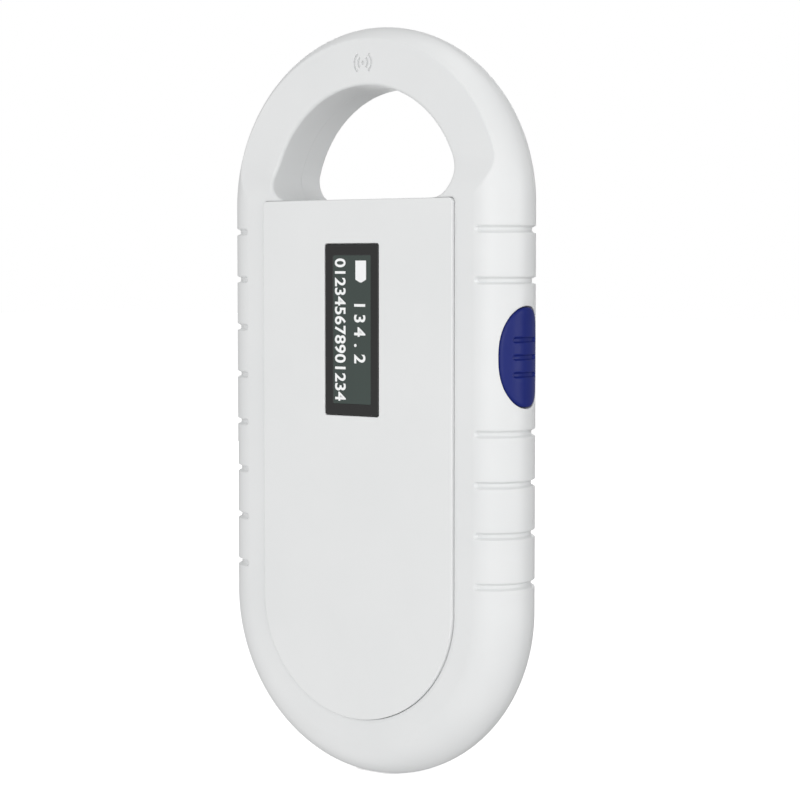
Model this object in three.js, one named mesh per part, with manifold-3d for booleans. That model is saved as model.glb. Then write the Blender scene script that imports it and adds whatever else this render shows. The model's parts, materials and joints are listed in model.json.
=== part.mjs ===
// Hand-held microchip scanner: a pill-shaped, two-shell housing whose upper end is a loop
// with the reading antenna inside, a small display in the front and one button in the side.
// Units are millimetres. +X is the button side, -Y the display side, +Z the loop end, and
// the origin is the centre of the housing's box.
import * as THREE from 'three';
import { mergeVertices } from 'three/addons/utils/BufferGeometryUtils.js';
import Module from 'manifold-3d';

const wasm = await Module();
wasm.setup();

// ---- housing ----
const HALF_WIDTH = 32;
const HALF_HEIGHT = 68;
const END_CENTRE_Z = HALF_HEIGHT - HALF_WIDTH;
const PANEL_FACE_Y = -8.6;
const BAND_Y = -8.0;
const BACK_Y = 7.8;
const WIDEST_FRONT_Y = -1.25;
const WIDEST_BACK_Y = -0.75;
const FRONT_ROUND = { across: 6.87, power: 1.8, steps: 5 };
const BACK_ROUND = { across: 9.2, power: 2, steps: 5 };
const ARC_STEPS = 44;
const LOOP_STEPS = 26;
const CORNER_STEPS = 4;
const WALL = 1.8;
const SEAM_Y = 1.4;
const SEAM_GAP = 0.3;
const LIP = { outer: 2.1, inner: 2.75, depth: 0.75, topY: 2.25 };
const LIP_ROOT = { outer: 1.5, inner: 2.95, topY: 2.85 };
const FAR = 90;

// ---- loop and its scooped front face ----
const LOOP_FACE_Y = -6.0;
const SCOOP = { lowZ: 38, highZ: 45, steps: 6, wall: 1.6 };
const HOLE = { radius: 20.6, centreZ: 36.6, floorZ: 37, corner: 4, wall: 1.6 };

// ---- side grooves ----
const GROOVE = { topZ: 31.4, pitch: 8.87, count: 8, width: 0.9, depth: 0.7, startX: 25.9 };
const GROOVES_UNDER_BUTTON = [2, 3];

// ---- front panel and display ----
const PANEL = { halfWidth: 21.3, topZ: 36.76, bottomCentreZ: -35.7, thickness: 1.4, gap: 0.25 };
const TAPE = { front: -7.15, back: -6.95, inset: 0.6 };
const RECESS_Y = -6.9;
const RECESS_WALL = 1.6;
const RECESS_BACK_Y = RECESS_Y + RECESS_WALL;
const BOSS_ROOT_Y = RECESS_Y + 0.6;
const WINDOW = { x: -0.55, z: 13.58, width: 12.1, height: 31.0 };
const LENS = { width: 11.7, height: 30.6, front: -8.5, back: -7.35 };
const GLASS = { width: 11.5, height: 30.0, front: -7.1, back: -5.65, gap: 0.3 };
const CARRIER = { width: 15, height: 33.4, front: -4.7, wall: 1.2 };

// ---- circuit board ----
const BOARD = { front: 0.6, back: 1.6, halfWidth: 25, topZ: 30, bottomCentreZ: -33, bossGap: 0.5 };
const BOARD_TONGUE = { halfWidth: 6, bottomZ: -64 };
const SOLDER = 0.05;

// ---- parts soldered to the board's front ----
const CHIPS = {
  mcu_chip: { x: -3, z: -22, width: 7, height: 7, thickness: 1.0 },
  rfid_chip: { x: 13.5, z: 14, width: 6, height: 6, thickness: 1.2 },
  charge_chip: { x: 8, z: -48, width: 3, height: 3, thickness: 0.9 },
};
const CAPACITOR = { x: 13, z: 21.5, width: 3.2, height: 2.5, thickness: 1.6 };
const CRYSTAL = { x: -12, z: -34, width: 11, height: 4.5, corner: 2.2, thickness: 3.4 };
const INDUCTOR = { x: -7, z: -47, width: 5, height: 5, corner: 1.2, thickness: 2.8 };

// ---- screws and their bosses ----
const CASE_SCREWS = [[-18.5, 27], [18.5, 27], [-15, -49], [15, -49]];
const CASE_SCREW_NAMES = ['upper_left', 'upper_right', 'lower_left', 'lower_right'];
const CASE_SCREW = { shank: 1.0, head: 2.1, tipY: -3.5, seatY: 3.15, headHeight: 1.4 };
const CASE_BOSS = { radius: 2.6, pilot: 1.3, pilotEndY: -4.2, topY: 1.25 };
const REAR_BOSS = { radius: 3.6, well: 2.6, lowY: 1.95, seatY: 3.1 };
const BOARD_SCREWS = [[-21, -12], [21, -12]];
const BOARD_SCREW_NAMES = ['left', 'right'];
const BOARD_SCREW = { shank: 0.8, head: 1.9, tipY: -3.2, headHeight: 1.1 };
const BOARD_BOSS = { radius: 2.4, pilot: 1.1, pilotEndY: -4.0 };

// ---- side button and switch ----
const BUTTON = { y: -0.9, z: 9.2, halfY: 4.95, halfZ: 8.65, gap: 0.3, skin: 2.3 };
const BUTTON_ROOM = { innerX: 24, halfZ: 11 };
const FLANGE = { grow: 1.0, outer: 2.2, inner: 3.1 };
const STEM = { radius: 1.6, endX: 28.1 };
const PLUNGER = { radius: 1.2, startX: 24.4, endX: 27.8 };
const SWITCH = { lowX: 21.0, highX: 25.6, lowY: -3.0, halfZ: 3.5, boreStartX: 23.6, boreGap: 0.3 };
const RIDGES = { pitch: 3.04, width: 0.9, depth: 0.4, frontY: -4.1 };

// ---- charging port ----
const PORT = { y: -1.13, width: 8.9, height: 3.25, mouthZ: -66.6, backZ: -59.4, wall: 0.32, gap: 0.32 };
const PORT_ROOM = 7;
const END_WALL_Z = -64;
const PORT_TONGUE = { halfWidth: 3.35, halfHeight: 0.35, front: 0.8, back: 0.5, hollowEnd: 1.2 };

// ---- buzzer and its sound holes ----
const BUZZER = { x: 12, z: 12, radius: 6, backY: 5.8, hole: 1.2, holeDepth: 2 };
const SOUND_HOLES = { ring: 2.6, radius: 0.7, count: 6 };

// ---- battery, behind the board ----
const BATTERY = { halfWidth: 12.5, lowZ: -43.5, highZ: -4.0, front: 2.1, back: 5.8 };
const PAD = { front: 1.65, back: 2.05, inset: 1.5 };
const SOCKET = { x: -4, halfWidth: 4, lowZ: 12, highZ: 17, back: 5.8, gap: 0.3 };
const PLUG = { halfWidth: 3.2, lowZ: 7.2, highZ: 13.6, front: 2.3, back: 5.1 };
const LEAD = { radius: 0.5, spacing: 2.4, y: 3.7, cellX: -8, straight: 2.5, gap: 0.35 };

// ---- antenna coil in the loop ----
const COIL = { outer: 27.0, inner: 24.2, outerFloor: 31.4, innerFloor: 34.4, front: -1.5, back: 2.5 };
const COIL_CORNER = { outer: 5, inner: 2 };
const COIL_LEAD = { radius: 0.3, x: [10, 12.5], topZ: 31.1, footZ: 26, y: 0.25 };
const COIL_POSTS = { angles: [25, 70, 110, 155], inner: 22.8, outer: 28.0, width: 1.6, topY: -1.8 };

const COLOUR = {
  shell: 0xe6e7e7,
  button: 0x2b2f78,
  lens: 0x2c2c2d,
  glass: 0x1d2422,
  dark: 0x1c1c1e,
  board: 0x1f5a3a,
  steel: 0xb9bcc0,
  copper: 0xb06a35,
  foil: 0xb8bbc0,
  white: 0xece8dc,
  tape: 0xd8d2bd,
  ribbon: 0xb5702a,
  red: 0xb3231f,
};

const scanner = new THREE.Group();

// ---- helpers ----

/** Turns a closed three.js geometry into a solid that can be joined and cut. */
function solid(geometry) {
  const bare = geometry.clone();
  bare.deleteAttribute('normal');
  bare.deleteAttribute('uv');
  const merged = mergeVertices(bare);
  const corners = Array.from(merged.index.array);
  const kept = [];
  for (let i = 0; i < corners.length; i += 3) {
    const [a, b, c] = corners.slice(i, i + 3);
    if (a !== b && b !== c && a !== c) kept.push(a, b, c);
  }
  const vertProperties = new Float32Array(merged.attributes.position.array);
  const triVerts = new Uint32Array(kept);
  return new wasm.Manifold(new wasm.Mesh({ numProp: 3, vertProperties, triVerts }));
}

/** Turns a solid back into a three.js geometry. */
function toGeometry(body) {
  const mesh = body.getMesh();
  const geometry = new THREE.BufferGeometry();
  geometry.setAttribute('position', new THREE.BufferAttribute(mesh.vertProperties, 3));
  geometry.setIndex(new THREE.BufferAttribute(mesh.triVerts, 1));
  geometry.computeVertexNormals();
  return geometry;
}

/** Adds one named sub-part to the scanner. */
function addPart(name, body, color, roughness, metalness = 0) {
  const geometry = body instanceof THREE.BufferGeometry ? body : toGeometry(body);
  const material = new THREE.MeshStandardMaterial({ color, roughness, metalness });
  const mesh = new THREE.Mesh(geometry, material);
  mesh.name = name;
  scanner.add(mesh);
}

/** A box between two corners. */
function blockGeometry([x0, y0, z0], [x1, y1, z1]) {
  const box = new THREE.BoxGeometry(x1 - x0, y1 - y0, z1 - z0);
  return box.translate((x0 + x1) / 2, (y0 + y1) / 2, (z0 + z1) / 2);
}

function block(low, high) {
  return solid(blockGeometry(low, high));
}

/** A shape drawn in X and Z, made solid from y0 back to y1. */
function plateGeometry(shape, y0, y1, curveSegments = 16) {
  const settings = { depth: y1 - y0, bevelEnabled: false, curveSegments };
  return new THREE.ExtrudeGeometry(shape, settings).rotateX(Math.PI / 2).translate(0, y1, 0);
}

function plate(shape, y0, y1, curveSegments) {
  return solid(plateGeometry(shape, y0, y1, curveSegments));
}

/** A shape drawn in Y and Z, made solid from x0 to x1. */
function barGeometry(shape, x0, x1, curveSegments = 12) {
  const settings = { depth: x1 - x0, bevelEnabled: false, curveSegments };
  const turn = new THREE.Matrix4().makeBasis(
    new THREE.Vector3(0, 1, 0),
    new THREE.Vector3(0, 0, 1),
    new THREE.Vector3(1, 0, 0),
  );
  return new THREE.ExtrudeGeometry(shape, settings).applyMatrix4(turn).translate(x0, 0, 0);
}

function bar(shape, x0, x1, curveSegments) {
  return solid(barGeometry(shape, x0, x1, curveSegments));
}

/** A round rod along Y. */
function rod(x, z, radius, y0, y1, sides = 16) {
  const cylinder = new THREE.CylinderGeometry(radius, radius, y1 - y0, sides);
  return solid(cylinder.translate(x, (y0 + y1) / 2, z));
}

/** A round rod along X. */
function rodAlongX(y, z, radius, x0, x1, sides = 20) {
  const cylinder = new THREE.CylinderGeometry(radius, radius, x1 - x0, sides);
  return solid(cylinder.rotateZ(Math.PI / 2).translate((x0 + x1) / 2, y, z));
}

/** A rectangle with rounded corners, centred on (x, y). */
function roundedRectangle(x, y, width, height, corner) {
  const shape = new THREE.Shape();
  const [halfW, halfH] = [width / 2 - corner, height / 2 - corner];
  shape.absarc(x + halfW, y + halfH, corner, 0, Math.PI / 2, false);
  shape.absarc(x - halfW, y + halfH, corner, Math.PI / 2, Math.PI, false);
  shape.absarc(x - halfW, y - halfH, corner, Math.PI, 1.5 * Math.PI, false);
  shape.absarc(x + halfW, y - halfH, corner, 1.5 * Math.PI, 2 * Math.PI, false);
  return shape;
}

/** A wire along a smooth path through the given points. */
function wireGeometry(points, radius, steps) {
  const section = new THREE.Shape().absarc(0, 0, radius, 0, 2 * Math.PI, false);
  const extrudePath = new THREE.CatmullRomCurve3(points.map((p) => new THREE.Vector3(...p)));
  return new THREE.ExtrudeGeometry(section, { steps, curveSegments: 4, bevelEnabled: false, extrudePath });
}

// ---- the pill that both shells are cut from ----

/** The pill's half section: distance from its centre line against Y, moved inwards by inset. */
function halfSection(inset) {
  const frontY = BAND_Y + inset;
  const backY = BACK_Y - inset;
  const radius = HALF_WIDTH - inset;
  const points = [new THREE.Vector2(0, frontY)];
  for (let i = FRONT_ROUND.steps; i >= 0; i -= 1) {
    const t = (i / FRONT_ROUND.steps) * (Math.PI / 2);
    const across = (FRONT_ROUND.across - inset) * (1 - Math.cos(t) ** (2 / FRONT_ROUND.power));
    const along = (WIDEST_FRONT_Y - frontY) * Math.sin(t) ** (2 / FRONT_ROUND.power);
    points.push(new THREE.Vector2(radius - across, WIDEST_FRONT_Y - along));
  }
  for (let i = 0; i <= BACK_ROUND.steps; i += 1) {
    const t = (i / BACK_ROUND.steps) * (Math.PI / 2);
    const across = (BACK_ROUND.across - inset) * (1 - Math.cos(t) ** (2 / BACK_ROUND.power));
    const along = (backY - WIDEST_BACK_Y) * Math.sin(t) ** (2 / BACK_ROUND.power);
    points.push(new THREE.Vector2(radius - across, WIDEST_BACK_Y + along));
  }
  points.push(new THREE.Vector2(0, backY));
  return points;
}

/** The whole pill, inset from the outer surface: two round ends and the straight middle. */
function pill(inset) {
  const half = halfSection(inset);
  const end = new THREE.LatheGeometry(half, ARC_STEPS);
  const upper = solid(end.clone().translate(0, 0, END_CENTRE_Z));
  const lower = solid(end.clone().translate(0, 0, -END_CENTRE_Z));
  const mirrored = half.slice(1, -1).reverse().map((p) => new THREE.Vector2(-p.x, p.y));
  const section = new THREE.Shape([...half.slice(1, -1), ...mirrored]);
  const settings = { depth: 2 * END_CENTRE_Z, bevelEnabled: false };
  const middle = new THREE.ExtrudeGeometry(section, settings).translate(0, 0, -END_CENTRE_Z);
  return solid(middle).add(upper).add(lower);
}

/** The slice of a solid that lies between two Y values. */
function sliceY(body, y0, y1) {
  return body.intersect(block([-FAR, y0, -FAR], [FAR, y1, FAR]));
}

// ---- outlines ----

/** Points along an arc from one angle to another. */
function arcPoints(x, y, radius, from, to, steps) {
  const points = [];
  for (let i = 0; i <= steps; i += 1) {
    const angle = from + ((to - from) * i) / steps;
    points.push(new THREE.Vector2(x + radius * Math.cos(angle), y + radius * Math.sin(angle)));
  }
  return points;
}

/** A D-shaped loop: an arc about the loop's centre closed by a straight floor with round corners. */
function loopOutline(radius, floorZ, corner) {
  const reach = radius - corner;
  const rise = floorZ + corner - HOLE.centreZ;
  const cornerX = Math.sqrt(reach ** 2 - rise ** 2);
  const cornerZ = floorZ + corner;
  const turn = Math.atan2(rise, cornerX);
  return new THREE.Shape([
    ...arcPoints(cornerX, cornerZ, corner, -Math.PI / 2, turn, CORNER_STEPS),
    ...arcPoints(0, HOLE.centreZ, radius, turn, Math.PI - turn, LOOP_STEPS).slice(1),
    ...arcPoints(-cornerX, cornerZ, corner, Math.PI - turn, 1.5 * Math.PI, CORNER_STEPS).slice(1),
  ]);
}

function holeOutline(grow) {
  return loopOutline(HOLE.radius + grow, HOLE.floorZ - grow, HOLE.corner + grow);
}

/** The front panel's outline, grown or shrunk: square at the top and half round at the bottom. */
function panelOutline(grow) {
  const half = PANEL.halfWidth + grow;
  const shape = new THREE.Shape();
  shape.moveTo(half, PANEL.topZ + grow);
  shape.lineTo(-half, PANEL.topZ + grow);
  shape.absarc(0, PANEL.bottomCentreZ, half, Math.PI, 2 * Math.PI, false);
  return shape;
}

function buttonOutline(grow) {
  const shape = new THREE.Shape();
  shape.absellipse(BUTTON.y, BUTTON.z, BUTTON.halfY + grow, BUTTON.halfZ + grow, 0, 2 * Math.PI, false, 0);
  return shape;
}

/** What is scooped off the loop's front: flat above, easing out to the band below. */
function scoop(back, drop) {
  const outline = [new THREE.Vector2(-30, 80), new THREE.Vector2(LOOP_FACE_Y + back, 80)];
  for (let i = 0; i <= SCOOP.steps; i += 1) {
    const t = i / SCOOP.steps;
    const ease = (1 - Math.cos(Math.PI * t)) / 2;
    const y = LOOP_FACE_Y + (BAND_Y - LOOP_FACE_Y) * ease;
    const z = SCOOP.highZ + (SCOOP.lowZ - SCOOP.highZ) * t;
    outline.push(new THREE.Vector2(y + back, z - drop));
  }
  outline.push(new THREE.Vector2(-30, SCOOP.lowZ - drop));
  return bar(new THREE.Shape(outline), -60, 60);
}

/** A window-centred box across X and Z, from front to back. */
function windowBlock(width, height, front, back) {
  const [x, z] = [WINDOW.x, WINDOW.z];
  return block([x - width / 2, front, z - height / 2], [x + width / 2, back, z + height / 2]);
}

// ---- housing parts ----

/** The solid outer body with the loop hole, the scoop and the side grooves cut. */
function outerBody() {
  let body = pill(0);
  body = body.subtract(plate(holeOutline(0), -FAR, FAR));
  body = body.subtract(scoop(0, 0));
  const core = pill(GROOVE.depth);
  for (let i = 0; i < GROOVE.count; i += 1) {
    const z = GROOVE.topZ - GROOVE.pitch * i;
    for (const side of [-1, 1]) {
      if (side > 0 && GROOVES_UNDER_BUTTON.includes(i)) continue;
      const xs = [side * GROOVE.startX, side * FAR].sort((a, b) => a - b);
      const slab = block([xs[0], -FAR, z - GROOVE.width / 2], [xs[1], FAR, z + GROOVE.width / 2]);
      body = body.subtract(slab.subtract(core));
    }
  }
  return body;
}

/** The hollow inside both shells, left clear of the loop's inner wall and the panel's floor. */
function innerHollow() {
  let hollow = pill(WALL);
  hollow = hollow.subtract(plate(holeOutline(HOLE.wall), -FAR, FAR));
  hollow = hollow.subtract(scoop(SCOOP.wall, SCOOP.wall));
  return hollow.subtract(plate(panelOutline(RECESS_WALL), -FAR, RECESS_BACK_Y));
}

/** A slot-shaped bar at the charging port, grown or shrunk all round, between two heights. */
function portBar(grow, z0, z1) {
  const height = PORT.height + 2 * grow;
  const outline = roundedRectangle(0, PORT.y, PORT.width + 2 * grow, height, height / 2 - 0.01);
  const settings = { depth: z1 - z0, bevelEnabled: false, curveSegments: 6 };
  return solid(new THREE.ExtrudeGeometry(outline, settings).translate(0, 0, z0));
}

/** Small ribs in the loop that the antenna coil rests on. */
function coilPost(degrees) {
  const { inner, outer, width, topY } = COIL_POSTS;
  const rib = blockGeometry([inner, LOOP_FACE_Y + SCOOP.wall / 2, -width / 2], [outer, topY, width / 2]);
  return solid(rib.rotateY(-THREE.MathUtils.degToRad(degrees)).translate(0, 0, HOLE.centreZ));
}

function frontShell(body, hollow) {
  let shell = sliceY(body, -FAR, SEAM_Y - SEAM_GAP / 2).subtract(hollow);
  shell = shell.subtract(plate(panelOutline(PANEL.gap), -FAR, RECESS_Y));
  for (const [x, z] of CASE_SCREWS) {
    shell = shell.add(rod(x, z, CASE_BOSS.radius, BOSS_ROOT_Y, CASE_BOSS.topY));
    shell = shell.subtract(rod(x, z, CASE_BOSS.pilot, CASE_BOSS.pilotEndY, FAR, 12));
  }
  for (const [x, z] of BOARD_SCREWS) {
    shell = shell.add(rod(x, z, BOARD_BOSS.radius, BOSS_ROOT_Y, BOARD.front - SOLDER));
    shell = shell.subtract(rod(x, z, BOARD_BOSS.pilot, BOARD_BOSS.pilotEndY, FAR, 12));
  }
  for (const degrees of COIL_POSTS.angles) shell = shell.add(coilPost(degrees));
  shell = shell.subtract(windowBlock(WINDOW.width, GLASS.height + 2 * GLASS.gap, -FAR, RECESS_BACK_Y + 0.3));
  shell = shell.subtract(bar(buttonOutline(BUTTON.gap), BUTTON_ROOM.innerX, FAR));
  return shell.subtract(portBar(PORT.gap, -FAR, END_WALL_Z));
}

/** Cuts a ring that follows the seam back from the button and the charging port. */
function clearOfOpenings(ring) {
  const { innerX, halfZ } = BUTTON_ROOM;
  const buttonRoom = block([innerX, -FAR, BUTTON.z - halfZ], [FAR, FAR, BUTTON.z + halfZ]);
  const portRoom = block([-PORT_ROOM, -FAR, -FAR], [PORT_ROOM, FAR, PORT.backZ]);
  return ring.subtract(buttonRoom).subtract(portRoom);
}

/** The rear shell, with a skirt that reaches inside the front shell all along the seam. */
function rearShell(body, hollow) {
  const root = sliceY(pill(LIP_ROOT.outer).subtract(pill(LIP_ROOT.inner)), SEAM_Y, LIP_ROOT.topY);
  const skirt = sliceY(pill(LIP.outer).subtract(pill(LIP.inner)), SEAM_Y - LIP.depth, LIP.topY);
  let shell = body.subtract(hollow.subtract(clearOfOpenings(root)));
  shell = sliceY(shell, SEAM_Y + SEAM_GAP / 2, FAR).add(clearOfOpenings(skirt));
  for (const [x, z] of CASE_SCREWS) {
    shell = shell.add(rod(x, z, REAR_BOSS.radius, REAR_BOSS.lowY, BACK_Y - WALL / 2));
    shell = shell.subtract(rod(x, z, REAR_BOSS.well, REAR_BOSS.seatY, FAR));
    shell = shell.subtract(rod(x, z, CASE_BOSS.pilot, 0, FAR, 12));
  }
  const angleStep = (2 * Math.PI) / SOUND_HOLES.count;
  for (let i = 0; i < SOUND_HOLES.count; i += 1) {
    const x = BUZZER.x + SOUND_HOLES.ring * Math.cos(i * angleStep);
    const z = BUZZER.z + SOUND_HOLES.ring * Math.sin(i * angleStep);
    shell = shell.subtract(rod(x, z, SOUND_HOLES.radius, BUZZER.backY, FAR, 8));
  }
  shell = shell.subtract(rod(BUZZER.x, BUZZER.z, SOUND_HOLES.radius, BUZZER.backY, FAR, 8));
  return shell.subtract(bar(buttonOutline(BUTTON.gap), BUTTON_ROOM.innerX, FAR));
}

function addHousing() {
  const body = outerBody();
  const hollow = innerHollow();
  addPart('front_shell', frontShell(body, hollow), COLOUR.shell, 0.45);
  addPart('rear_shell', rearShell(body, hollow), COLOUR.shell, 0.45);
}

// ---- front panel and display ----

function addFrontPanel() {
  const sheet = plate(panelOutline(0), PANEL_FACE_Y, PANEL_FACE_Y + PANEL.thickness);
  const panel = sheet.subtract(windowBlock(WINDOW.width, WINDOW.height, -FAR, 0));
  addPart('front_panel', panel, COLOUR.shell, 0.42);
  const film = plate(panelOutline(-TAPE.inset), TAPE.front, TAPE.back);
  const tape = film.subtract(windowBlock(WINDOW.width, WINDOW.height, -FAR, 0));
  addPart('panel_tape', tape, COLOUR.tape, 0.8);
}

function addDisplay() {
  const lens = windowBlock(LENS.width, LENS.height, LENS.front, LENS.back);
  addPart('display_lens', lens, COLOUR.lens, 0.12);
  const glass = windowBlock(GLASS.width, GLASS.height, GLASS.front, GLASS.back);
  addPart('oled_glass', glass, COLOUR.glass, 0.15);
  const outer = windowBlock(CARRIER.width, CARRIER.height, CARRIER.front, BOARD.front - SOLDER);
  const [innerWidth, innerHeight] = [CARRIER.width - 2 * CARRIER.wall, CARRIER.height - 2 * CARRIER.wall];
  const pocket = windowBlock(innerWidth, innerHeight, CARRIER.front + CARRIER.wall, FAR);
  addPart('display_carrier', outer.subtract(pocket), COLOUR.dark, 0.6);
}

/** The display's flat cable: down the glass's back, round the carrier and flat onto the board. */
function addDisplayRibbon() {
  const thickness = 0.15;
  const route = new THREE.CatmullRomCurve3([
    new THREE.Vector3(-5.3, 4, 0),
    new THREE.Vector3(-5.2, 1, 0),
    new THREE.Vector3(-5.0, -1.5, 0),
    new THREE.Vector3(-4.95, -3.6, 0),
    new THREE.Vector3(-3.9, -5.4, 0),
    new THREE.Vector3(-0.8, -6.6, 0),
    new THREE.Vector3(0.3, -8.4, 0),
    new THREE.Vector3(0.35, -12, 0),
  ]);
  const steps = 18;
  const near = [];
  const far = [];
  for (let i = 0; i <= steps; i += 1) {
    const point = route.getPoint(i / steps);
    const along = route.getTangent(i / steps);
    near.push(new THREE.Vector2(point.x - along.y * thickness / 2, point.y + along.x * thickness / 2));
    far.push(new THREE.Vector2(point.x + along.y * thickness / 2, point.y - along.x * thickness / 2));
  }
  const strip = new THREE.Shape([...near, ...far.reverse()]);
  addPart('display_ribbon', barGeometry(strip, WINDOW.x - 4, WINDOW.x + 4), COLOUR.ribbon, 0.5);
}

// ---- circuit board and what is soldered to it ----

function addBoard() {
  const outline = new THREE.Shape();
  outline.moveTo(BOARD.halfWidth, BOARD.topZ);
  outline.lineTo(-BOARD.halfWidth, BOARD.topZ);
  outline.absarc(0, BOARD.bottomCentreZ, BOARD.halfWidth, Math.PI, 2 * Math.PI, false);
  let board = plate(outline, BOARD.front, BOARD.back, 16);
  const tongueTop = BOARD.bottomCentreZ - BOARD.halfWidth + 3;
  const [half, bottom] = [BOARD_TONGUE.halfWidth, BOARD_TONGUE.bottomZ];
  board = board.add(block([-half, BOARD.front, bottom], [half, BOARD.back, tongueTop]));
  const bossHole = CASE_BOSS.radius + BOARD.bossGap;
  for (const [x, z] of CASE_SCREWS) board = board.subtract(rod(x, z, bossHole, -FAR, FAR));
  for (const [x, z] of BOARD_SCREWS) board = board.subtract(rod(x, z, BOARD_BOSS.pilot, -FAR, FAR, 12));
  addPart('main_pcb', board, COLOUR.board, 0.45);
}

/** A chip or other low block soldered to the board's front. */
function frontChip(name, { x, z, width, height, thickness }, colour) {
  const back = BOARD.front - SOLDER;
  const low = [x - width / 2, back - thickness, z - height / 2];
  addPart(name, blockGeometry(low, [x + width / 2, back, z + height / 2]), colour, 0.5);
}

/** A rounded can soldered to the board's front. */
function frontCan(name, { x, z, width, height, corner, thickness }, colour, metalness) {
  const outline = roundedRectangle(x, z, width, height, corner);
  const back = BOARD.front - SOLDER;
  addPart(name, plateGeometry(outline, back - thickness, back, 5), colour, 0.4, metalness);
}

function addFrontChips() {
  for (const [name, chip] of Object.entries(CHIPS)) frontChip(name, chip, COLOUR.dark);
  frontChip('tuning_capacitor', CAPACITOR, COLOUR.tape);
  frontCan('crystal', CRYSTAL, COLOUR.steel, 0.9);
  frontCan('power_inductor', INDUCTOR, COLOUR.dark, 0);
}

function addBuzzer() {
  const can = rod(BUZZER.x, BUZZER.z, BUZZER.radius, BOARD.back + SOLDER, BUZZER.backY, 24);
  const voice = rod(BUZZER.x, BUZZER.z, BUZZER.hole, BUZZER.backY - BUZZER.holeDepth, FAR, 12);
  addPart('buzzer', can.subtract(voice), COLOUR.dark, 0.5);
}

/** The charging socket: a thin tube with a flat tongue inside it. */
function addPort() {
  const { halfWidth, halfHeight, front, back, hollowEnd } = PORT_TONGUE;
  const tube = portBar(0, PORT.mouthZ, PORT.backZ);
  const hollow = portBar(-PORT.wall, PORT.mouthZ - 1, PORT.backZ - hollowEnd);
  const low = [-halfWidth, PORT.y - halfHeight, PORT.mouthZ + front];
  const tongue = block(low, [halfWidth, PORT.y + halfHeight, PORT.backZ - back]);
  addPart('usb_port', tube.subtract(hollow).add(tongue), COLOUR.steel, 0.25, 1);
}

// ---- side button and switch ----

/** The cap: an oval cut from the shell's own surface, on a wider flange that holds it in. */
function addButton() {
  const skin = pill(0).subtract(pill(BUTTON.skin));
  let cap = bar(buttonOutline(0), BUTTON_ROOM.innerX, FAR).intersect(skin);
  const shelf = pill(FLANGE.outer).subtract(pill(FLANGE.inner));
  cap = cap.add(bar(buttonOutline(FLANGE.grow), BUTTON_ROOM.innerX, FAR).intersect(shelf));
  cap = cap.add(rodAlongX(BUTTON.y, BUTTON.z, STEM.radius, STEM.endX, HALF_WIDTH - FLANGE.inner + 0.3, 16));
  const core = pill(RIDGES.depth);
  for (const step of [-1, 0, 1]) {
    const z = BUTTON.z + step * RIDGES.pitch;
    const low = [BUTTON_ROOM.innerX, RIDGES.frontY, z - RIDGES.width / 2];
    const high = [FAR, 2 * BUTTON.y - RIDGES.frontY, z + RIDGES.width / 2];
    cap = cap.subtract(block(low, high).subtract(core));
  }
  addPart('button_cap', cap, COLOUR.button, 0.4);
}

function addSwitch() {
  const { lowX, highX, lowY, halfZ, boreStartX, boreGap } = SWITCH;
  const low = [lowX, lowY, BUTTON.z - halfZ];
  const high = [highX, BOARD.front - SOLDER, BUTTON.z + halfZ];
  const bore = rodAlongX(BUTTON.y, BUTTON.z, PLUNGER.radius + boreGap, boreStartX, highX + 1, 16);
  addPart('switch_body', block(low, high).subtract(bore), COLOUR.dark, 0.5);
  const plunger = rodAlongX(BUTTON.y, BUTTON.z, PLUNGER.radius, PLUNGER.startX, PLUNGER.endX, 16);
  addPart('switch_plunger', plunger, COLOUR.white, 0.5);
}

// ---- battery and its lead ----

function addBattery() {
  const { halfWidth, lowZ, highZ, front, back } = BATTERY;
  const outline = roundedRectangle(0, (lowZ + highZ) / 2, 2 * halfWidth, highZ - lowZ, 1.5);
  addPart('battery_cell', plateGeometry(outline, front, back, 4), COLOUR.foil, 0.35, 0.8);
  const inset = PAD.inset;
  const padLow = [-halfWidth + inset, PAD.front, lowZ + inset];
  const padHigh = [halfWidth - inset, PAD.back, highZ - inset];
  addPart('battery_pad', blockGeometry(padLow, padHigh), COLOUR.white, 0.9);
}

function addBatteryConnector() {
  const { x, halfWidth, lowZ, highZ, back, gap } = SOCKET;
  const box = block([x - halfWidth, BOARD.back + SOLDER, lowZ], [x + halfWidth, back, highZ]);
  const slot = block(
    [x - PLUG.halfWidth - gap, PLUG.front - gap, lowZ - 1],
    [x + PLUG.halfWidth + gap, PLUG.back + gap, PLUG.highZ + gap],
  );
  addPart('battery_socket', box.subtract(slot), COLOUR.white, 0.5);
  const low = [x - PLUG.halfWidth, PLUG.front, PLUG.lowZ];
  addPart('battery_plug', blockGeometry(low, [x + PLUG.halfWidth, PLUG.back, PLUG.highZ]), COLOUR.white, 0.5);
}

function addBatteryLeads() {
  const [bottom, top] = [BATTERY.highZ + LEAD.gap, PLUG.lowZ - LEAD.gap];
  const names = { battery_lead_positive: -0.5, battery_lead_negative: 0.5 };
  for (const [name, side] of Object.entries(names)) {
    const [startX, endX] = [LEAD.cellX + side * LEAD.spacing, SOCKET.x + side * LEAD.spacing];
    const route = [
      [startX, LEAD.y, bottom],
      [startX, LEAD.y, bottom + LEAD.straight],
      [endX, LEAD.y, top - LEAD.straight],
      [endX, LEAD.y, top],
    ];
    addPart(name, wireGeometry(route, LEAD.radius, 10), side < 0 ? COLOUR.red : COLOUR.dark, 0.5);
  }
}

// ---- antenna coil ----

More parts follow.
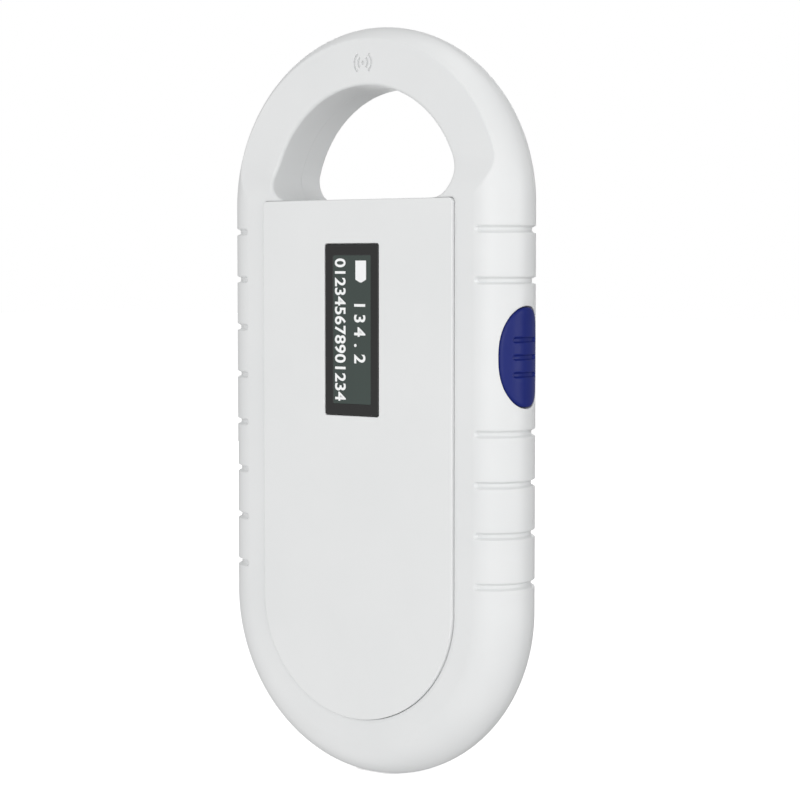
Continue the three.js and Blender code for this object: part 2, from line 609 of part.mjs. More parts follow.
function addCoil() {
  const outline = loopOutline(COIL.outer, COIL.outerFloor, COIL_CORNER.outer);
  outline.holes.push(loopOutline(COIL.inner, COIL.innerFloor, COIL_CORNER.inner));
  addPart('antenna_coil', plateGeometry(outline, COIL.front, COIL.back), COLOUR.copper, 0.35, 0.8);
  const names = ['coil_lead_start', 'coil_lead_end'];
  COIL_LEAD.x.forEach((x, i) => {
    const route = [
      [x, COIL_LEAD.y, COIL_LEAD.topZ],
      [x, COIL_LEAD.y, (COIL_LEAD.topZ + COIL_LEAD.footZ) / 2],
      [x, COIL_LEAD.y, COIL_LEAD.footZ],
    ];
    addPart(names[i], wireGeometry(route, COIL_LEAD.radius, 4), COLOUR.copper, 0.4, 0.6);
  });
}

// ---- screws ----

/** A pan-head screw along Y, head to the rear. */
function screwGeometry(x, z, size, seatY) {
  const corner = 0.3;
  const profile = [
    [0, size.tipY],
    [size.shank * 0.4, size.tipY],
    [size.shank, size.tipY + size.shank],
    [size.shank, seatY],
    [size.head, seatY],
    [size.head, seatY + size.headHeight - corner],
    [size.head - corner, seatY + size.headHeight],
    [0, seatY + size.headHeight],
  ];
  const points = profile.map(([r, y]) => new THREE.Vector2(r, y));
  return new THREE.LatheGeometry(points, 12).translate(x, 0, z);
}

/** The screw with the cross slot that a driver fits. */
function screw(x, z, size, seatY) {
  const top = seatY + size.headHeight;
  const reach = size.head * 0.6;
  const half = size.head * 0.13;
  const depth = size.headHeight * 0.55;
  const slotX = block([x - reach, top - depth, z - half], [x + reach, top + 1, z + half]);
  const slotZ = block([x - half, top - depth, z - reach], [x + half, top + 1, z + reach]);
  return solid(screwGeometry(x, z, size, seatY)).subtract(slotX).subtract(slotZ);
}

function addScrews() {
  CASE_SCREWS.forEach(([x, z], i) => {
    const body = screw(x, z, CASE_SCREW, CASE_SCREW.seatY);
    addPart(`case_screw_${CASE_SCREW_NAMES[i]}`, body, COLOUR.steel, 0.3, 1);
  });
  BOARD_SCREWS.forEach(([x, z], i) => {
    const body = screw(x, z, BOARD_SCREW, BOARD.back + SOLDER);
    addPart(`board_screw_${BOARD_SCREW_NAMES[i]}`, body, COLOUR.steel, 0.3, 1);
  });
}

addHousing();
addFrontPanel();
addDisplay();
addDisplayRibbon();
addBoard();
addFrontChips();
addBuzzer();
addPort();
addButton();
addSwitch();
addBattery();
addBatteryConnector();
addBatteryLeads();
addCoil();
addScrews();

export default scanner;
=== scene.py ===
import json
import math

import bmesh
import bpy
from mathutils import Matrix, Vector
from mathutils.geometry import delaunay_2d_cdt


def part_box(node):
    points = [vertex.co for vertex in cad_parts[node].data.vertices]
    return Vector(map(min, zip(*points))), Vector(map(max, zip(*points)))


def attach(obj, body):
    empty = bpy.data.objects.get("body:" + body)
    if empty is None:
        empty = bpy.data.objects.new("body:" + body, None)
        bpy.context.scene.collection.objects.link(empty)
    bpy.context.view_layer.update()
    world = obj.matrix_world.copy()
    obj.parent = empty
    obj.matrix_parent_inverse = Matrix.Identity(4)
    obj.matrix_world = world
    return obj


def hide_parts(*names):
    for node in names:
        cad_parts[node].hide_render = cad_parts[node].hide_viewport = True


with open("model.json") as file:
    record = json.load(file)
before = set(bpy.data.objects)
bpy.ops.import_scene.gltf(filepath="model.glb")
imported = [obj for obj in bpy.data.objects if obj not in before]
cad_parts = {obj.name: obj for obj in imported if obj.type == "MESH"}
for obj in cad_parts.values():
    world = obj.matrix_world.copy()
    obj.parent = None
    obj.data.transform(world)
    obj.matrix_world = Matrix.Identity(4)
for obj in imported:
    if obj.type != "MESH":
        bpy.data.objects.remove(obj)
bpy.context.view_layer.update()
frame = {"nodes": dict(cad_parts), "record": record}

# Lengths are in millimetres, apart from the camera's and the lights', which are in metres.
# X is the button side, -Y the display side, Z up.
MM = 0.001
WELD = 0.002 * MM

# ---- housing ----
HALF_WIDTH = 32.0
END_Z = 36.0
BAND_Y = -8.0
BACK_Y = 7.8
WIDEST_FRONT_Y = -1.25
WIDEST_BACK_Y = -0.75
FRONT_ACROSS = 6.87
FRONT_EXPONENT = 1.111
BACK_ACROSS = 9.2
SEAM_Y = 1.4
SEAM_GAP = 0.04
FRONT_SEAM_Y = SEAM_Y - SEAM_GAP / 2
REAR_SEAM_Y = SEAM_Y + SEAM_GAP / 2
SEAM_ROUND = 0.08
SEAM_STEP = 0.03
WALL = 1.8

# ---- loop ----
LOOP_Y = -6.0
SCOOP_LOW_Z = 37.2
SCOOP_HIGH_Z = 45.0
CREASE_ROUND = 0.15
HOLE_RADIUS = 20.75
HOLE_Z = 36.6
HOLE_FLOOR_Z = 37.0
HOLE_CORNER = 4.0
HOLE_FILLET = 0.7
REAR_FILLET = 1.35
HOLE_WALL = 1.3

# ---- side grooves ----
GROOVE_TOP_Z = 31.4
GROOVE_PITCH = 8.87
GROOVE_COUNT = 8
GROOVE_DEPTH = 0.7
GROOVE_HALF_OPEN = 0.72
GROOVE_HALF_FLOOR = 0.22
GROOVE_START_R = 25.45
GROOVES_UNDER_BUTTON = (2, 3)
NO_GROOVE = 99.0

# ---- front panel and display ----
PANEL_Y = -8.6
PANEL_BACK_Y = -7.2
PANEL_HALF = 21.3
PANEL_TOP_Z = 36.92
PANEL_BOTTOM_Z = -35.7
PANEL_CORNER = 0.95
PANEL_GAP = 0.08
PANEL_FILLET = 0.25
RECESS_Y = -6.9
RECESS_FILLET = 0.2
INNER_FLOOR_Y = -5.2
INNER_LOOP_Y = -4.4
WINDOW = (-0.75, 13.58, 12.2, 31.0, 0.45)
LENS = (-0.75, 13.58, 11.96, 30.76, 0.35)
ACTIVE = (-0.7, 13.6, 8.45, 26.75, 0.2)
GLASS_OPENING = 30.6
LENS_Y = -8.5
LENS_BACK_Y = -7.35
SCREEN_Y = -8.44
MARK_Y = -8.46
CAPITAL_SHARE = 0.7
LETTER_BOLDNESS = 0.03
LETTER_DEPTH = 0.04
# Name, figures, x, z of the first, height and pitch of a line on the display.
FIGURE_LINES = (
    ("figures", "012345678901234", -4.45, 25.6, 2.3, 1.72),
    ("second_line", "134.2", -0.1, 18.0, 2.4, 2.4),
)

# ---- button ----
BUTTON_Y = -0.9
BUTTON_Z = 9.2
BUTTON_HALF_Y = 5.03
BUTTON_HALF_Z = 8.72
BUTTON_FULLNESS = 2.45
BUTTON_GAP = 0.2
BUTTON_RIM = 0.4
BUTTON_SKIN = 2.2
BUTTON_ROOM_X = 26.0
BUTTON_CUT_OUT = 3.0
FLANGE_GROW = 1.0
FLANGE_BACK = 3.1
RIDGE_PITCH = 3.04
RIDGE_DEPTH = 0.4
RIDGE_FRONT_Y = -4.1
RIDGE_HALF_OPEN = 0.58
RIDGE_EASE = 0.36
RIDGE_END = 0.45

# ---- screws, port and sound holes ----
CASE_SCREWS = {
    "upper_left": (-18.5, 27),
    "upper_right": (18.5, 27),
    "lower_left": (-15, -49),
    "lower_right": (15, -49),
}
BOSS_RADIUS = 3.6
BOSS_LOW_Y = 1.95
BOSS_ROOT_Y = BACK_Y - 1.2
WELL_RADIUS = 2.6
WELL_FLOOR_Y = 3.1
WELL_START_Y = 1.0
SCREW_HOLE = 1.3
SCREW_SEAT_Y = 3.15
SCREW_HEAD = 2.1
SCREW_SHANK = 1.0
SCREW_TIP_Y = -3.5
SCREW_HEIGHT = 1.4
SCREW_FILLET = 0.75
PORT_Y = -1.13
PORT_WIDTH = 8.9
PORT_HEIGHT = 3.25
PORT_MOUTH_Z = -66.6
PORT_BACK_Z = -59.4
PORT_WALL = 0.32
PORT_GAP = 0.32
PORT_CUT_CORNER = 1.93
PORT_CUT_TOP_Z = -55.0
PORT_CUT_LOW_Z = -72.0
PORT_FLOOR = 1.2
TONGUE_HALF_WIDTH = 3.35
TONGUE_HALF_HEIGHT = 0.35
BUZZER_X = 12.0
BUZZER_Z = 12.0
SOUND_RING = 2.6
SOUND_RADIUS = 0.7
SOUND_START_Y = 5.0
SYMBOL_Z = 61.37
SYMBOL_RADII = (1.05, 1.9)
SYMBOL_HALF_LINE = 0.23
SYMBOL_SPREAD = 52
SYMBOL_DOT = 0.38
SYMBOL_FRONT_Y = -9
SYMBOL_FLOOR_Y = LOOP_Y + 0.3

# ---- floor ----
FLOOR_HALF = 3000.0

# ---- camera and light, in metres ----
CAMERA_LENS = 96.668
CAMERA_PLACE = (0.23455, -0.31446, 0.024796)
CAMERA_BACK = (0.59044, -0.80472, 0.06164)
FRONT_LIGHT = 0.95
BACK_LIGHT = 0.4
# Name, place, the point it is aimed at, edge length and watts.
SOFTBOXES = (
    ("side", (0.62, -0.33, 0.1), (0, 0, 0.01), 0.4, 0.42),
    ("front", (0.35, -0.7, 0.1), (0, 0, 0), 0.4, 1.35),
    ("low", (-0.42, -0.12, -0.6), (0, 0, -0.06), 0.4, 0.4),
    ("top", (0.05, 0.18, 0.72), (0, 0, 0.06), 0.4, 0.8),
    ("rear", (0.68, 0.12, 0.05), (0, 0, 0), 0.3, 0.8),
    ("back", (-0.4, 0.6, 0.1), (0, 0, 0), 0.4, 1.2),
)


# ---- small geometry helpers ----


def smoothstep(x):
    x = min(max(x, 0.0), 1.0)
    return x * x * (3 - 2 * x)


def soft_max(a, b, k):
    """The larger of two values, rounded over where they are within k of each other."""
    if k <= 0:
        return max(a, b)
    h = max(k - abs(a - b), 0.0) / k
    return max(a, b) + h * h * k / 4


def linked(name, data):
    """A new object in the scene that shows the given data."""
    thing = bpy.data.objects.new(name, data)
    bpy.context.scene.collection.objects.link(thing)
    return thing


def shown_mesh(thing):
    """A new mesh of the object as its modifiers, or its text, shape it."""
    graph = bpy.context.evaluated_depsgraph_get()
    return bpy.data.meshes.new_from_object(thing.evaluated_get(graph))


def object_from(name, points, faces):
    """A mesh object from points in millimetres, welded, with its normals facing out."""
    mesh = bpy.data.meshes.new(name)
    mesh.from_pydata([(x * MM, y * MM, z * MM) for x, y, z in points], [], faces)
    b = bmesh.new()
    b.from_mesh(mesh)
    bmesh.ops.remove_doubles(b, verts=b.verts, dist=WELD)
    bmesh.ops.dissolve_degenerate(b, edges=b.edges, dist=WELD / 4)
    bmesh.ops.recalc_face_normals(b, faces=b.faces)
    b.to_mesh(mesh)
    b.free()
    return linked(name, mesh)


class Skin:
    """Points and faces that are gathered strip by strip, then welded into one mesh."""

    def __init__(self):
        self.points = []
        self.faces = []

    def grid(self, rows, closed=False):
        """Rows of points, all of one length, joined by quads from each row to the next."""
        start = len(self.points)
        width = len(rows[0])
        for row in rows:
            self.points.extend(row)
        count = len(rows) if closed else len(rows) - 1
        for i in range(count):
            a = start + i * width
            b = start + ((i + 1) % len(rows)) * width
            for j in range(width - 1):
                self.faces.append((a + j, a + j + 1, b + j + 1, b + j))

    def patch(self, loops, lift, inner_points=()):
        """Fills the flat region between closed loops of (u, v) points; lift places each point."""
        flat = []
        outlines = []
        for loop in loops:
            outlines.append(tuple(range(len(flat), len(flat) + len(loop))))
            flat.extend(Vector(p) for p in loop)
        flat.extend(Vector(p) for p in inner_points)
        corners, _, faces, _, _, _ = delaunay_2d_cdt(flat, [], outlines, 2, 1e-5)
        start = len(self.points)
        self.points.extend(lift(c.x, c.y) for c in corners)
        self.faces.extend(tuple(start + i for i in f) for f in faces)

    def rings(self, loops):
        """Closed loops of points, all of one length, joined by quads from each to the next."""
        self.grid([list(column) for column in zip(*loops)], closed=True)

    def build(self, name):
        return object_from(name, self.points, self.faces)


def quarter_turn(steps):
    """Angles from 0 to a quarter turn."""
    return [math.pi / 2 * i / steps for i in range(steps + 1)]


def arc(cx, cz, radius, start, end, steps):
    """Samples of an arc as (centre, direction, radius), angles in degrees."""
    samples = []
    for i in range(steps + 1):
        a = math.radians(start + (end - start) * i / steps)
        samples.append(((cx, cz), (math.cos(a), math.sin(a)), radius))
    return samples


def grown(samples, grow):
    """The outline through the samples, moved out by grow."""
    return [(c[0] + (r + grow) * n[0], c[1] + (r + grow) * n[1]) for c, n, r in samples]


def rounded_box(box, steps=8):
    """Samples of a rectangle with rounded corners: box is (x, z, width, height, corner)."""
    x, z, width, height, corner = box
    dx = width / 2 - corner
    dz = height / 2 - corner
    samples = []
    for i, (sx, sz) in enumerate([(1, 1), (-1, 1), (-1, -1), (1, -1)]):
        samples += arc(x + sx * dx, z + sz * dz, corner, 90 * i, 90 * i + 90, steps)
    return samples


def plate(name, outline, front, back, fillet, holes=()):
    """A flat piece whose front edges are rounded, round its outline and its holes."""
    skin = Skin()
    steps = [(fillet * (1 - math.sin(a)), fillet * (1 - math.cos(a))) for a in quarter_turn(5)]
    for samples, side in [(outline, -1)] + [(hole, 1) for hole in holes]:
        levels = [(side * inset, front + drop) for inset, drop in steps] + [(0, back)]
        skin.rings([[(x, y, z) for x, z in grown(samples, g)] for g, y in levels])
    first = [grown(outline, -fillet)] + [grown(hole, fillet) for hole in holes]
    last = [grown(outline, 0)] + [grown(hole, 0) for hole in holes]
    skin.patch(first, lambda u, v: (u, front, v))
    skin.patch(last, lambda u, v: (u, back, v))
    return skin.build(name)


def cut(target, cutter, operation="DIFFERENCE"):
    """Cuts or joins one closed mesh with another, and removes the cutter."""
    modifier = target.modifiers.new("cut", "BOOLEAN")
    modifier.operation = operation
    modifier.solver = "MANIFOLD"
    modifier.object = cutter
    mesh = shown_mesh(target)
    target.modifiers.remove(modifier)
    target.data = mesh
    bpy.data.objects.remove(cutter)


def smooth(thing, degrees=32):
    """Shades a mesh smooth, with its true corners left sharp and its flat faces left flat."""
    thing.data.shade_smooth()
    thing.data.set_sharp_from_angle(angle=math.radians(degrees))
    weighted = thing.modifiers.new("weighted", "WEIGHTED_NORMAL")
    weighted.keep_sharp = True
    mesh = shown_mesh(thing)
    thing.modifiers.remove(weighted)
    thing.data = mesh


# ---- the pill's rounded side ----


def front_profile(t, inset=0.0):
    """Distance from the centre line, and Y, at parameter t on the front rounding."""
    across = (FRONT_ACROSS - inset) * (1 - max(math.cos(t), 0.0) ** FRONT_EXPONENT)
    depth = WIDEST_FRONT_Y - (BAND_Y + inset)
    return HALF_WIDTH - inset - across, WIDEST_FRONT_Y - depth * math.sin(t) ** FRONT_EXPONENT


def back_profile(t, inset=0.0):
    across = (BACK_ACROSS - inset) * (1 - math.cos(t))
    depth = BACK_Y - inset - WIDEST_BACK_Y
    return HALF_WIDTH - inset - across, WIDEST_BACK_Y + depth * math.sin(t)


def front_y_at(radius):
    """Y of the front rounding at a distance from the centre line."""
    cosine = (1 - (HALF_WIDTH - radius) / FRONT_ACROSS)
    if cosine <= 0:
        return BAND_Y
    t = math.acos(min(cosine ** (1 / FRONT_EXPONENT), 1.0))
    return front_profile(t)[1]


def side_radius(y):
    """Distance of the side surface from the centre line at a Y value."""
    if y > WIDEST_BACK_Y:
        t = math.asin(min((y - WIDEST_BACK_Y) / (BACK_Y - WIDEST_BACK_Y), 1.0))
        return back_profile(t)[0]
    if y > WIDEST_FRONT_Y:
        return HALF_WIDTH
    sine = (WIDEST_FRONT_Y - y) / (WIDEST_FRONT_Y - BAND_Y)
    t = math.asin(min(sine ** (1 / FRONT_EXPONENT), 1.0))
    return front_profile(t)[0]


def scoop_y(z):
    """Y of the front face: the band below, easing back to the loop's face above."""
    f = min(max((z - SCOOP_LOW_Z) / (SCOOP_HIGH_Z - SCOOP_LOW_Z), 0.0), 1.0)
    return BAND_Y + (LOOP_Y - BAND_Y) * (1 - math.cos(math.pi * f)) / 2


def groove_offset(z, side):
    """Height above or below the middle of the nearest side groove."""
    kept = [i for i in range(GROOVE_COUNT) if side < 0 or i not in GROOVES_UNDER_BUTTON]
    return min(abs(z - (GROOVE_TOP_Z - GROOVE_PITCH * i)) for i in kept)


def groove_weight(offset, radius):
    """1 at the floor of a side groove, 0 away from it; the groove's end is round."""
    beyond = max(GROOVE_START_R + GROOVE_HALF_OPEN - radius, 0.0)
    span = GROOVE_HALF_OPEN - GROOVE_HALF_FLOOR
    return smoothstep((GROOVE_HALF_OPEN - math.hypot(offset, beyond)) / span)


class Station:
    """One ray from the pill's centre line out to its side, in the plane of the front face."""

    def __init__(self, cz, nx, nz, offset=NO_GROOVE):
        self.cz = cz
        self.nx = nx
        self.nz = nz
        self.offset = offset

    def point(self, radius, y):
        return (radius * self.nx, y, self.cz + radius * self.nz)

    def z_at(self, radius):
        return self.cz + radius * self.nz

    def sunk(self, radius):
        """Share of the groove's depth at a distance along the ray."""
        return groove_weight(self.offset, radius)

    def sunk_point(self, outer, inner):
        """A profile point, (radius, y), moved towards the groove's floor."""
        w = self.sunk(outer[0])
        return (outer[0] + (inner[0] - outer[0]) * w, outer[1] + (inner[1] - outer[1]) * w)

    def seam_points(self, radius, y, step):
        """The shell's edge at the seam, with its corner taken off."""
        radius -= GROOVE_DEPTH * self.sunk(radius)
        return [(radius - SEAM_ROUND, y), (radius - SEAM_STEP, y + step)]


def straight_levels():
    """Z values of the mesh's rows along the straight sides, closer together at the grooves."""
    offsets = [0.0, 0.11, 0.22, 0.28, 0.34, 0.4, 0.46, 0.52, 0.58, 0.65, 0.72, 0.95]
    levels = set()
    for i in range(GROOVE_COUNT):
        centre = GROOVE_TOP_Z - GROOVE_PITCH * i
        for offset in offsets:
            levels.add(round(centre + offset, 4))
            levels.add(round(centre - offset, 4))
        for k in (1, 2, 3):
            levels.add(round(centre - 0.95 - k * (GROOVE_PITCH - 1.9) / 4, 4))
    levels = [z for z in levels if abs(z) < END_Z - 0.3]
    return sorted(levels + [-END_Z, END_Z, END_Z - 1.6, END_Z - 3.0])


RECESS_CORNER_Z = HOLE_FLOOR_Z - PANEL_CORNER
RECESS_HALF = PANEL_HALF + PANEL_GAP
CORNER_X = math.sqrt((HOLE_RADIUS - HOLE_CORNER) ** 2 - (HOLE_FLOOR_Z + HOLE_CORNER - HOLE_Z) ** 2)
CORNER_Z = HOLE_FLOOR_Z + HOLE_CORNER
CORNER_END = math.degrees(math.atan2(CORNER_Z - HOLE_Z, CORNER_X))
MEET_X = CORNER_X + math.sqrt((HOLE_CORNER + HOLE_FILLET) ** 2 - HOLE_CORNER**2)
MEET_ANGLE = math.degrees(math.atan2(HOLE_FLOOR_Z - END_Z, MEET_X))
RECESS_TURN_ANGLE = math.degrees(math.atan2(HOLE_FLOOR_Z - END_Z, RECESS_HALF - PANEL_CORNER))


def quarter_angles():
    """Ray angles over the right half of the top end, closer where the panel meets the hole."""
    first = math.degrees(math.atan2(RECESS_CORNER_Z - END_Z, RECESS_HALF))
    angles = [first * 0.5, first]
    for a in (15, 30, 45, 60, 75):
        x = RECESS_HALF - PANEL_CORNER * (1 - math.cos(math.radians(a)))
        z = RECESS_CORNER_Z + PANEL_CORNER * math.sin(math.radians(a))
        angles.append(math.degrees(math.atan2(z - END_Z, x)))
    angles += [RECESS_TURN_ANGLE, (RECESS_TURN_ANGLE + MEET_ANGLE) / 2, MEET_ANGLE]
    angles += [3.1, 3.4, 3.8, 4.3, 4.9, 5.5]
    angles += [6.25 + 0.75 * i for i in range(26)]
    return angles + [26.5 + 1.5 * i for i in range(43)]


def make_stations():
    """All rays in order: up the right side, over the top, down the left side, under the bottom."""
    levels = straight_levels()
    quarter = quarter_angles()
    stations = [Station(z, 1, 0, groove_offset(z, 1)) for z in levels]
    top = quarter + [180 - a for a in reversed(quarter) if a < 89.9]
    for a in top:
        stations.append(Station(END_Z, math.cos(math.radians(a)), math.sin(math.radians(a))))
    stations += [Station(z, -1, 0, groove_offset(z, -1)) for z in reversed(levels)]
    for i in range(1, 120):
        a = math.pi + math.pi * i / 120
        stations.append(Station(-END_Z, math.cos(a), math.sin(a)))
    return stations


STATIONS = make_stations()


# ---- where each ray meets the panel's recess or the loop's hole ----


def ray_circle(station, cx, cz, radius):
    """Distance along the ray to the far side of a circle, or None if it misses."""
    ox = -cx
    oz = station.cz - cz
    half_b = ox * station.nx + oz * station.nz
    c = ox * ox + oz * oz - radius * radius
    inside = half_b * half_b - c
    return None if inside < 0 else -half_b + math.sqrt(inside)


def recess_fillet(station):
    """The fillet at the recess's edge fades out towards the hole."""
    if station.cz < END_Z or station.nz <= 0:
        return RECESS_FILLET
    angle = math.degrees(math.asin(station.nz))
    span = MEET_ANGLE - RECESS_TURN_ANGLE
    return RECESS_FILLET * smoothstep((MEET_ANGLE - angle) / (span + 0.4))


def on_circle(kind, station, cx, cz, radius, grow):
    """The edge where the ray crosses a circle that is grown by its fillet."""
    reach = radius + grow
    far = ray_circle(station, cx, cz, reach)
    n = ((far * station.nx - cx) / reach, (station.z_at(far) - cz) / reach)
    return kind, ((cx, cz), n, radius), far, grow


def inner_edge(station):
    """(kind, sample, distance, grow) where the front face ends: at the recess or at the hole."""
    side = 1 if station.nx > 0 else -1
    if station.cz <= -END_Z + 1e-6 and station.nz < -1e-9:
        return on_circle("recess", station, 0, PANEL_BOTTOM_Z, RECESS_HALF, RECESS_FILLET)
    if abs(station.nz) < 1e-9:
        sample = ((0, station.cz), (side, 0), RECESS_HALF)
        return "recess", sample, RECESS_HALF + RECESS_FILLET, RECESS_FILLET
    angle = math.degrees(math.asin(station.nz))
    if angle > MEET_ANGLE + 1e-6:
        edge = on_circle("hole", station, 0, HOLE_Z, HOLE_RADIUS, HOLE_FILLET)
        nx, nz = edge[1][1]
        if math.degrees(math.atan2(nz, abs(nx))) >= CORNER_END:
            return edge
        return on_circle("hole", station, side * CORNER_X, CORNER_Z, HOLE_CORNER, HOLE_FILLET)
    grow = recess_fillet(station)
    half = RECESS_HALF + grow
    z_side = station.cz + half * abs(station.nz / station.nx)
    if z_side <= RECESS_CORNER_Z:
        sample = ((0, z_side), (side, 0), RECESS_HALF)
        return "recess", sample, half / abs(station.nx), grow
    if angle < RECESS_TURN_ANGLE - 1e-6:
        corner_x = side * (RECESS_HALF - PANEL_CORNER)
        return on_circle("recess", station, corner_x, RECESS_CORNER_Z, PANEL_CORNER, grow)
    far = (HOLE_FLOOR_Z + grow - END_Z) / station.nz
    return "recess", ((far * station.nx, HOLE_FLOOR_Z), (0, 1), 0.0), far, grow


EDGES = [inner_edge(s) for s in STATIONS]


def sample_point(sample, grow, y):
    c, n, r = sample
    return (c[0] + (r + grow) * n[0], y, c[1] + (r + grow) * n[1])


def corner_fan(side):
    """Directions round the hole's lower corner, from the recess's end down to its floor."""
    start = math.degrees(math.atan2(HOLE_FLOOR_Z - CORNER_Z, MEET_X - CORNER_X))
    samples = []
    centre = (side * CORNER_X, CORNER_Z)
    for i in range(9):
        a = math.radians(start + (-90 - start) * i / 8)
        samples.append((centre, (side * math.cos(a), math.sin(a)), HOLE_CORNER))
    return samples


def hole_samples():
    """The whole D-shaped hole: right corner up, over the top, left corner down."""
    over = [e[1] for e in EDGES if e[0] == "hole"]
    return list(reversed(corner_fan(1))) + over + corner_fan(-1)


# ---- front shell ----


def front_edge(station):
    """Parameter t where the side rounding meets the front face on this ray."""
    low, high = 0.3, math.pi / 2
    if station.z_at(HALF_WIDTH) <= SCOOP_LOW_Z:
        return high
    for _ in range(50):
        t = (low + high) / 2
        radius, y = front_profile(t)
        if y > scoop_y(station.z_at(radius)):
            low = t
        else:
            high = t
    return (low + high) / 2


def front_face_y(station, radius):
    """Y of the front skin at a distance along the ray: the rounding or the face, softly joined."""
    face = scoop_y(station.z_at(radius))
    return soft_max(front_y_at(radius), face, min(CREASE_ROUND, 0.5 * (face - BAND_Y)))


def front_outer_row(station, edge):
    """Points of the outside from the seam round to the front face's inner edge."""
    seam_t = math.asin((FRONT_SEAM_Y - WIDEST_BACK_Y) / (BACK_Y - WIDEST_BACK_Y))
    row = station.seam_points(back_profile(seam_t)[0], FRONT_SEAM_Y, -SEAM_STEP)
    for t in [seam_t * f for f in (0.95, 0.75, 0.5, 0.25, 0.0)]:
        row.append(station.sunk_point(back_profile(t), back_profile(t, GROOVE_DEPTH)))
    edge_t = front_edge(station)
    shares = [0.04 * i for i in range(21)] + [0.825, 0.84, 0.85]
    shares += [0.858 + 0.008 * i for i in range(13)] + [0.965, 0.98, 0.99]
    for t in [edge_t * f for f in shares]:
        radius = front_profile(t)[0]
        outer = (radius, front_face_y(station, radius))
        row.append(station.sunk_point(outer, front_profile(t, GROOVE_DEPTH)))
    start = front_profile(edge_t)[0]
    radii = [start - d for d in (0.0, 0.05, 0.12, 0.2, 0.28, 0.35, 0.42, 0.5, 0.7)]
    radii += [radii[-1] + (edge[2] - radii[-1]) * f for f in (0.2, 0.4, 0.6, 0.8, 1.0)]
    for radius in radii:
        y = front_face_y(station, radius)
        row.append(station.sunk_point((radius, y), (radius, y + GROOVE_DEPTH)))
    return [station.point(radius, y) for radius, y in row]


def fillet_points(sample, face_y, start=0.0, steps=7):
    """The rounded edge from the face into the hole, from angle start to a quarter turn."""
    points = []
    for i in range(steps + 1):
        a = start + (math.pi / 2 - start) * i / steps
        y = face_y + HOLE_FILLET * (1 - math.cos(a))
        points.append(sample_point(sample, HOLE_FILLET * (1 - math.sin(a)), y))
    return points


def hole_row(sample, face_y, start):
    """The hole's edge and wall, with a point where the wall passes the panel's recess floor."""
    level = max(RECESS_Y, face_y + HOLE_FILLET + 0.1)
    wall = [sample_point(sample, 0, level), sample_point(sample, 0, FRONT_SEAM_Y)]
    return fillet_points(sample, face_y, start) + wall


def front_hole_rows():
    rows = []
    for station, edge in zip(STATIONS, EDGES):
        if edge[0] == "hole":
            face_y = scoop_y(station.z_at(edge[2]))
            rows.append(hole_row(edge[1], face_y, 0.0))
    return rows


def fan_rows(side):
    """The hole's lower corner, cut off by the recess's top wall."""
    rows = []
    for sample in corner_fan(side):
        down = abs(sample[1][1])
        ratio = HOLE_CORNER + HOLE_FILLET - HOLE_CORNER / down
        start = math.asin(min(max(ratio / HOLE_FILLET, 0.0), 1.0))
        rows.append(hole_row(sample, BAND_Y, start))
    return rows


def recess_rows(fans):
    """The recess's wall, from the face (or the hole's rounded corner) down to its floor."""
    rows = []
    for kind, sample, _, grow in EDGES:
        if kind == "recess":
            levels = ((grow, 0), (grow * 0.3, grow * 0.3), (0, grow))
            row = [sample_point(sample, out, BAND_Y + drop) for out, drop in levels]
            rows.append(row + [sample_point(sample, 0, RECESS_Y)])
    right = [edge[0] for edge in EDGES].index("hole")

    def fan_wall(row):
        top = row[0]
        return [top, top, top, (top[0], RECESS_Y, top[2])]

    right_fan = [fan_wall(r) for r in fans[0]]
    left_fan = [fan_wall(r) for r in reversed(fans[1])]
    return rows[:right] + right_fan, left_fan + rows[right:]


def inner_side_row(station):
    """Points of the inside of the side wall, from the seam to the inner face."""
    low, high = 0.2, math.pi / 2
    for _ in range(40):
        t = (low + high) / 2
        radius, y = front_profile(t, WALL)
        if y > inner_face_y(station.z_at(radius)):
            low = t
        else:
            high = t
    seam_t = math.asin((FRONT_SEAM_Y - WIDEST_BACK_Y) / (BACK_Y - WALL - WIDEST_BACK_Y))
    row = [back_profile(seam_t * f, WALL) for f in (1.0, 0.5, 0.0)]
    row += [front_profile(low * i / 10, WALL) for i in range(11)]
    return [station.point(radius, y) for radius, y in row]


def inner_face_y(z):
    f = (scoop_y(z) - BAND_Y) / (LOOP_Y - BAND_Y)
    return INNER_FLOOR_Y + (INNER_LOOP_Y - INNER_FLOOR_Y) * f


def close_inside(skin, inner, seam_y, face_y):
    """The inner face, the wall round the hole and that wall's edge at the seam."""
    hole = hole_samples()
    lining = grown(hole, HOLE_WALL)
    edge = [(row[-1][0], row[-1][2]) for row in inner]
    skin.patch([unique(edge), unique(lining)], lambda u, v: (u, face_y(v), v))
    skin.grid([[(u, face_y(v), v), (u, seam_y, v)] for u, v in lining], closed=True)
    skin.grid([[sample_point(h, g, seam_y) for g in (0, HOLE_WALL)] for h in hole], closed=True)


def front_shell():
    skin = Skin()
    outer = [front_outer_row(s, e) for s, e in zip(STATIONS, EDGES)]
    skin.grid(outer, closed=True)
    fans = [fan_rows(1), fan_rows(-1)]
    skin.grid(list(reversed(fans[0])) + front_hole_rows() + fans[1])
    right_wall, left_wall = recess_rows(fans)
    skin.grid(left_wall + right_wall)
    floor = [(row[-1][0], row[-1][2]) for row in left_wall + right_wall]
    skin.patch([unique(floor)], lambda u, v: (u, RECESS_Y, v))
    hole = hole_samples()
    ends = hole[-1], hole[0]
    skin.grid([[sample_point(end, 0, y) for y in (RECESS_Y, FRONT_SEAM_Y)] for end in ends])
    inner = [inner_side_row(s) for s in STATIONS]
    skin.grid(inner, closed=True)
    skin.grid([[a[0], b[0]] for a, b in zip(outer, inner)], closed=True)
    close_inside(skin, inner, FRONT_SEAM_Y, inner_face_y)
    return skin.build("front_shell_skin")


